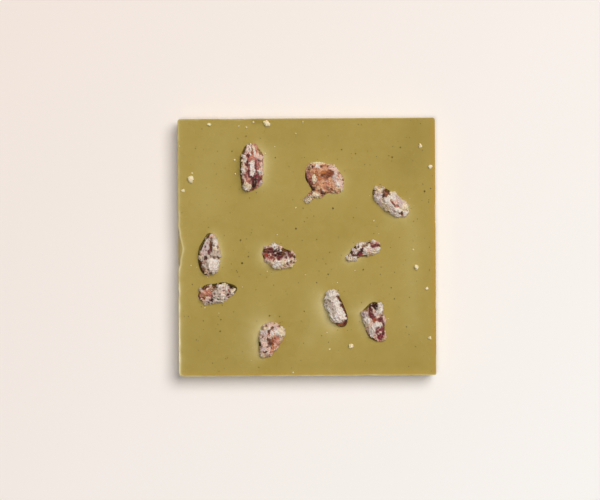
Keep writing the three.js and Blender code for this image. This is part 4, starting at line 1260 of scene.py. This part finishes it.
# %% Crumbs
CRUMBS = [  # x, y, width
    (-15.3, 48.0, 2.4), (-45.0, 26.6, 2.4), (-37.6, 47.9, 1.2), (-48.0, 22.2, 1.2),
    (44.2, 39.1, 1.5), (48.0, 31.0, 1.3), (42.4, -8.1, 1.8), (46.3, -16.4, 1.2),
    (16.8, -38.4, 1.6), (47.4, -35.5, 1.1), (-23.3, 46.7, 0.6), (-44.4, 29.0, 0.7),
    (-1.4, 48.5, 0.7), (41.3, -1.2, 0.5), (-49.2, 39.4, 0.5), (-5.6, -48.7, 0.5),
    (-20.4, 48.7, 0.5), (-12.3, 39.2, 0.4), (8.5, -39.6, 0.5), (-28.0, 34.0, 0.4),
    (26.0, 10.0, 0.45), (-4.2, 15.2, 0.4), (-26.3, 47.2, 0.4), (-4.0, 44.0, 0.4),
]
CRUMB_FLATNESS = 0.85  # height as a share of the width
CRUMB_SUNK = 0.3  # share of the height below the face
CRUMB_EDGES = (0.8, 1.1)  # size and height of the relief
CRUMB_SHARP_FROM = 35  # degrees
DUST_COUNT = 40
DUST_WIDTHS = (0.12, 0.24)
DUST_NEAREST = 4.5  # from the middle of the nut, off its side
DUST_PAST_END = 3.5  # and so much further off its ends
DUST_SPREAD = 2.6
RAY_FROM = 30  # height from which a ray is sent down
POCKET_FROM = 1.2  # what lies this far below the face is the floor of a pocket
BALL_STRETCH = (0.8, 1.2)
DRAW_SEED = 12

draw = random.Random(DRAW_SEED)
slab_tree = solid_tree(slab)


def chocolate_height(x, y):
    """Height of the chocolate under a place, or nothing beside it or in a pocket."""
    hit = slab_tree.ray_cast(Vector((x, y, RAY_FROM)) * MM, Vector((0, 0, -1)))[0]
    return hit.z / MM if hit and hit.z / MM > FACE - POCKET_FROM else None


def scatter_balls(name, balls, flatness, sunk, smoothness):
    """One mesh of many small balls, each given by its x, y and width, on the chocolate."""
    bpy.ops.object.select_all(action="DESELECT")
    bpy.ops.mesh.primitive_ico_sphere_add(subdivisions=1, radius=MM)
    piece = bpy.context.object
    piece.name = name
    edit_mode()
    bpy.ops.mesh.select_all(action="SELECT")
    bpy.ops.mesh.delete(type="VERT")
    for x, y, width in balls:
        ground = chocolate_height(x, y)
        if ground is None:
            continue
        tall = width * flatness
        stretch = draw.uniform(*BALL_STRETCH)
        bpy.ops.mesh.primitive_ico_sphere_add(
            subdivisions=smoothness(width), radius=MM,
            location=Vector((x, y, ground + tall * (0.5 - sunk))) * MM,
            rotation=(0, 0, draw.uniform(0, math.tau)),
            scale=(width / 2 * stretch, width / 2 / stretch, tall / 2),
        )
    settle(piece)
    return piece


def crumb_smoothness(width):
    """How finely a crumb's ball is divided: finer the wider it is."""
    return 4 if width > 1 else 2 if width < 0.35 else 3


dust = []
for _ in range(DUST_COUNT):
    x, y, turn, _, _ = LOOKS[draw.choice(NUTS)]
    angle = draw.uniform(0, math.tau)
    away = DUST_NEAREST + abs(draw.gauss(0, DUST_SPREAD))
    away += DUST_PAST_END * abs(math.cos(angle - math.radians(turn)))
    x += away * math.cos(angle)
    y += away * math.sin(angle)
    dust.append((x, y, draw.uniform(*DUST_WIDTHS)))
crumbs = scatter_balls("crumbs", CRUMBS + dust, CRUMB_FLATNESS, CRUMB_SUNK, crumb_smoothness)
edge_size, edge_height = CRUMB_EDGES
relief(crumbs, clouds("crumb_edges", edge_size), edge_height)
crumbs.data.materials.append(crumb_finish)
only(crumbs)
bpy.ops.object.shade_smooth_by_angle(angle=math.radians(CRUMB_SHARP_FROM))
print("crumbs:", len(CRUMBS + dust), triangles(crumbs), "triangles")

# %% [markdown]
# Ground pistachio leaves dark flecks in the chocolate. The largest are placed where the
# photograph has them, the rest by a seeded draw, and all lie almost flush with the face.

# %% Dark flecks
FLECKS = [  # x, y, width
    (-25.2, -6.1, 0.8), (45.8, 21.4, 0.75), (-4.2, 7.2, 0.75), (-25.8, 2.8, 0.7),
    (33.3, 34.7, 0.65), (-14.7, -26.6, 0.65), (-22.8, -3.5, 0.6), (-33.9, -32.5, 0.6),
    (8.2, -10.6, 0.6),
    (-33.6, -28.0, 0.55), (36.5, 38.5, 0.55), (13.7, 37.8, 0.55), (-23.4, 43.2, 0.5),
    (-10.8, -26.9, 0.5), (38.5, -31.2, 0.5), (19.1, 36.2, 0.5), (3.7, -13.8, 0.5),
    (-1.2, -24.9, 0.5), (-44.6, -14.2, 0.5), (33.8, -20.3, 0.5), (48.2, 22.5, 0.5),
    (10.2, 15.0, 0.75), (21.8, -8.9, 0.6), (-28.9, 37.4, 0.55), (-12.1, 34.8, 0.5),
    (32.6, -16.0, 0.5), (-1.4, 15.1, 0.45),
]
SMALL_FLECKS = 230
SMALL_FLECK_WIDTHS = (0.2, 0.42)
FLECK_FLATNESS = 0.3
FLECK_SUNK = 0.3
FLECKS_END = 1  # this far inside the tablet's sides

far = SIDE / 2 - FLECKS_END
small = [
    (draw.uniform(-far, far), draw.uniform(-far, far), draw.uniform(*SMALL_FLECK_WIDTHS))
    for _ in range(SMALL_FLECKS)
]
flecks = scatter_balls("dark_flecks", FLECKS + small, FLECK_FLATNESS, FLECK_SUNK, lambda width: 2)
flecks.data.materials.append(fleck_finish)
print("flecks:", len(FLECKS + small), triangles(flecks), "triangles")

# %% [markdown]
# ## Put the pieces in place
# Every piece rides on the tablet's one body, and the solid that it stands for is hidden.

# %% Ride on the body
for piece in (slab, crumbs, flecks):
    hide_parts("chocolate_slab")
    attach(piece, "root")
for node, (kernel, crust) in PIECES.items():
    for piece in (crust, kernel):
        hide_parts(node)
        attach(piece, "root")
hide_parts(*NUTS)
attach(grains, "root")

# %% [markdown]
# ## Floor and light
# The tablet lies on a plain pale surface under one large soft light from the upper right, which
# leaves a soft shadow on its left and lower sides. This light isn't mirrored in the chocolate, as
# its edge would lie on the face as a veil. A smaller one at the side draws the highlights.

# %% Floor
PAPER_PINK = colour(246, 234, 226)
PAPER_WHITE = colour(251, 248, 244)
FLOOR_SIDE = 6  # metres
PAPER_BLEND = 0.2  # metres from the middle to where the paper is all pink or all white

bpy.ops.object.select_all(action="DESELECT")
bpy.ops.mesh.primitive_plane_add(size=FLOOR_SIDE, location=(0, 0, 0))
floor = bpy.context.object
floor.name = "pale_floor"
paper = Finish("pale_floor", Roughness=0.9, Specular_IOR_Level=0.1)
apart = paper.add("ShaderNodeSeparateXYZ", {"Vector": paper.place})
slant = paper.math("SUBTRACT", apart.outputs["X"], apart.outputs["Y"])
whiter = paper.between(slant, -PAPER_BLEND, PAPER_BLEND)
floor.data.materials.append(paper.finish(Base_Color=paper.mix(whiter, PAPER_PINK, PAPER_WHITE)))

# %% Light
LAMP_TINT = (1.0, 0.99, 0.98)
ROOM_LIGHT = 0.1


def softbox(name, at, size, power):
    """A round light that faces the tablet."""
    bpy.ops.object.select_all(action="DESELECT")
    facing = (-Vector(at)).to_track_quat("-Z", "Y").to_euler()
    bpy.ops.object.light_add(type="AREA", location=at, rotation=facing)
    lamp = bpy.context.object
    lamp.name = name
    lamp.data.shape = "DISK"
    lamp.data.size = size
    lamp.data.energy = power
    lamp.data.color = LAMP_TINT
    return lamp


key = softbox("key_softbox", at=(1.12, 1.12, 2.78), size=2.4, power=84.0)
key.visible_glossy = False
room_fill = softbox("room_fill", at=(-0.18, -0.18, 1.8), size=0.4, power=7.9)
room_fill.visible_glossy = False  # scattered light of the room, with no highlight of its own
strip = softbox("side_strip", at=(1.5, 0.2, 2.3), size=0.9, power=14.0)
strip.visible_diffuse = False  # it only draws the highlights along the left rim and the nuts
world = bpy.data.worlds.new("room")
bpy.context.scene.world = world
world.use_nodes = True
room_light = world.node_tree.nodes["Background"]
room_light.inputs["Color"].default_value = (*LAMP_TINT, 1.0)
room_light.inputs["Strength"].default_value = ROOM_LIGHT
bpy.context.scene.view_settings.view_transform = "Standard"
print("lights:", key.name, room_fill.name, strip.name)
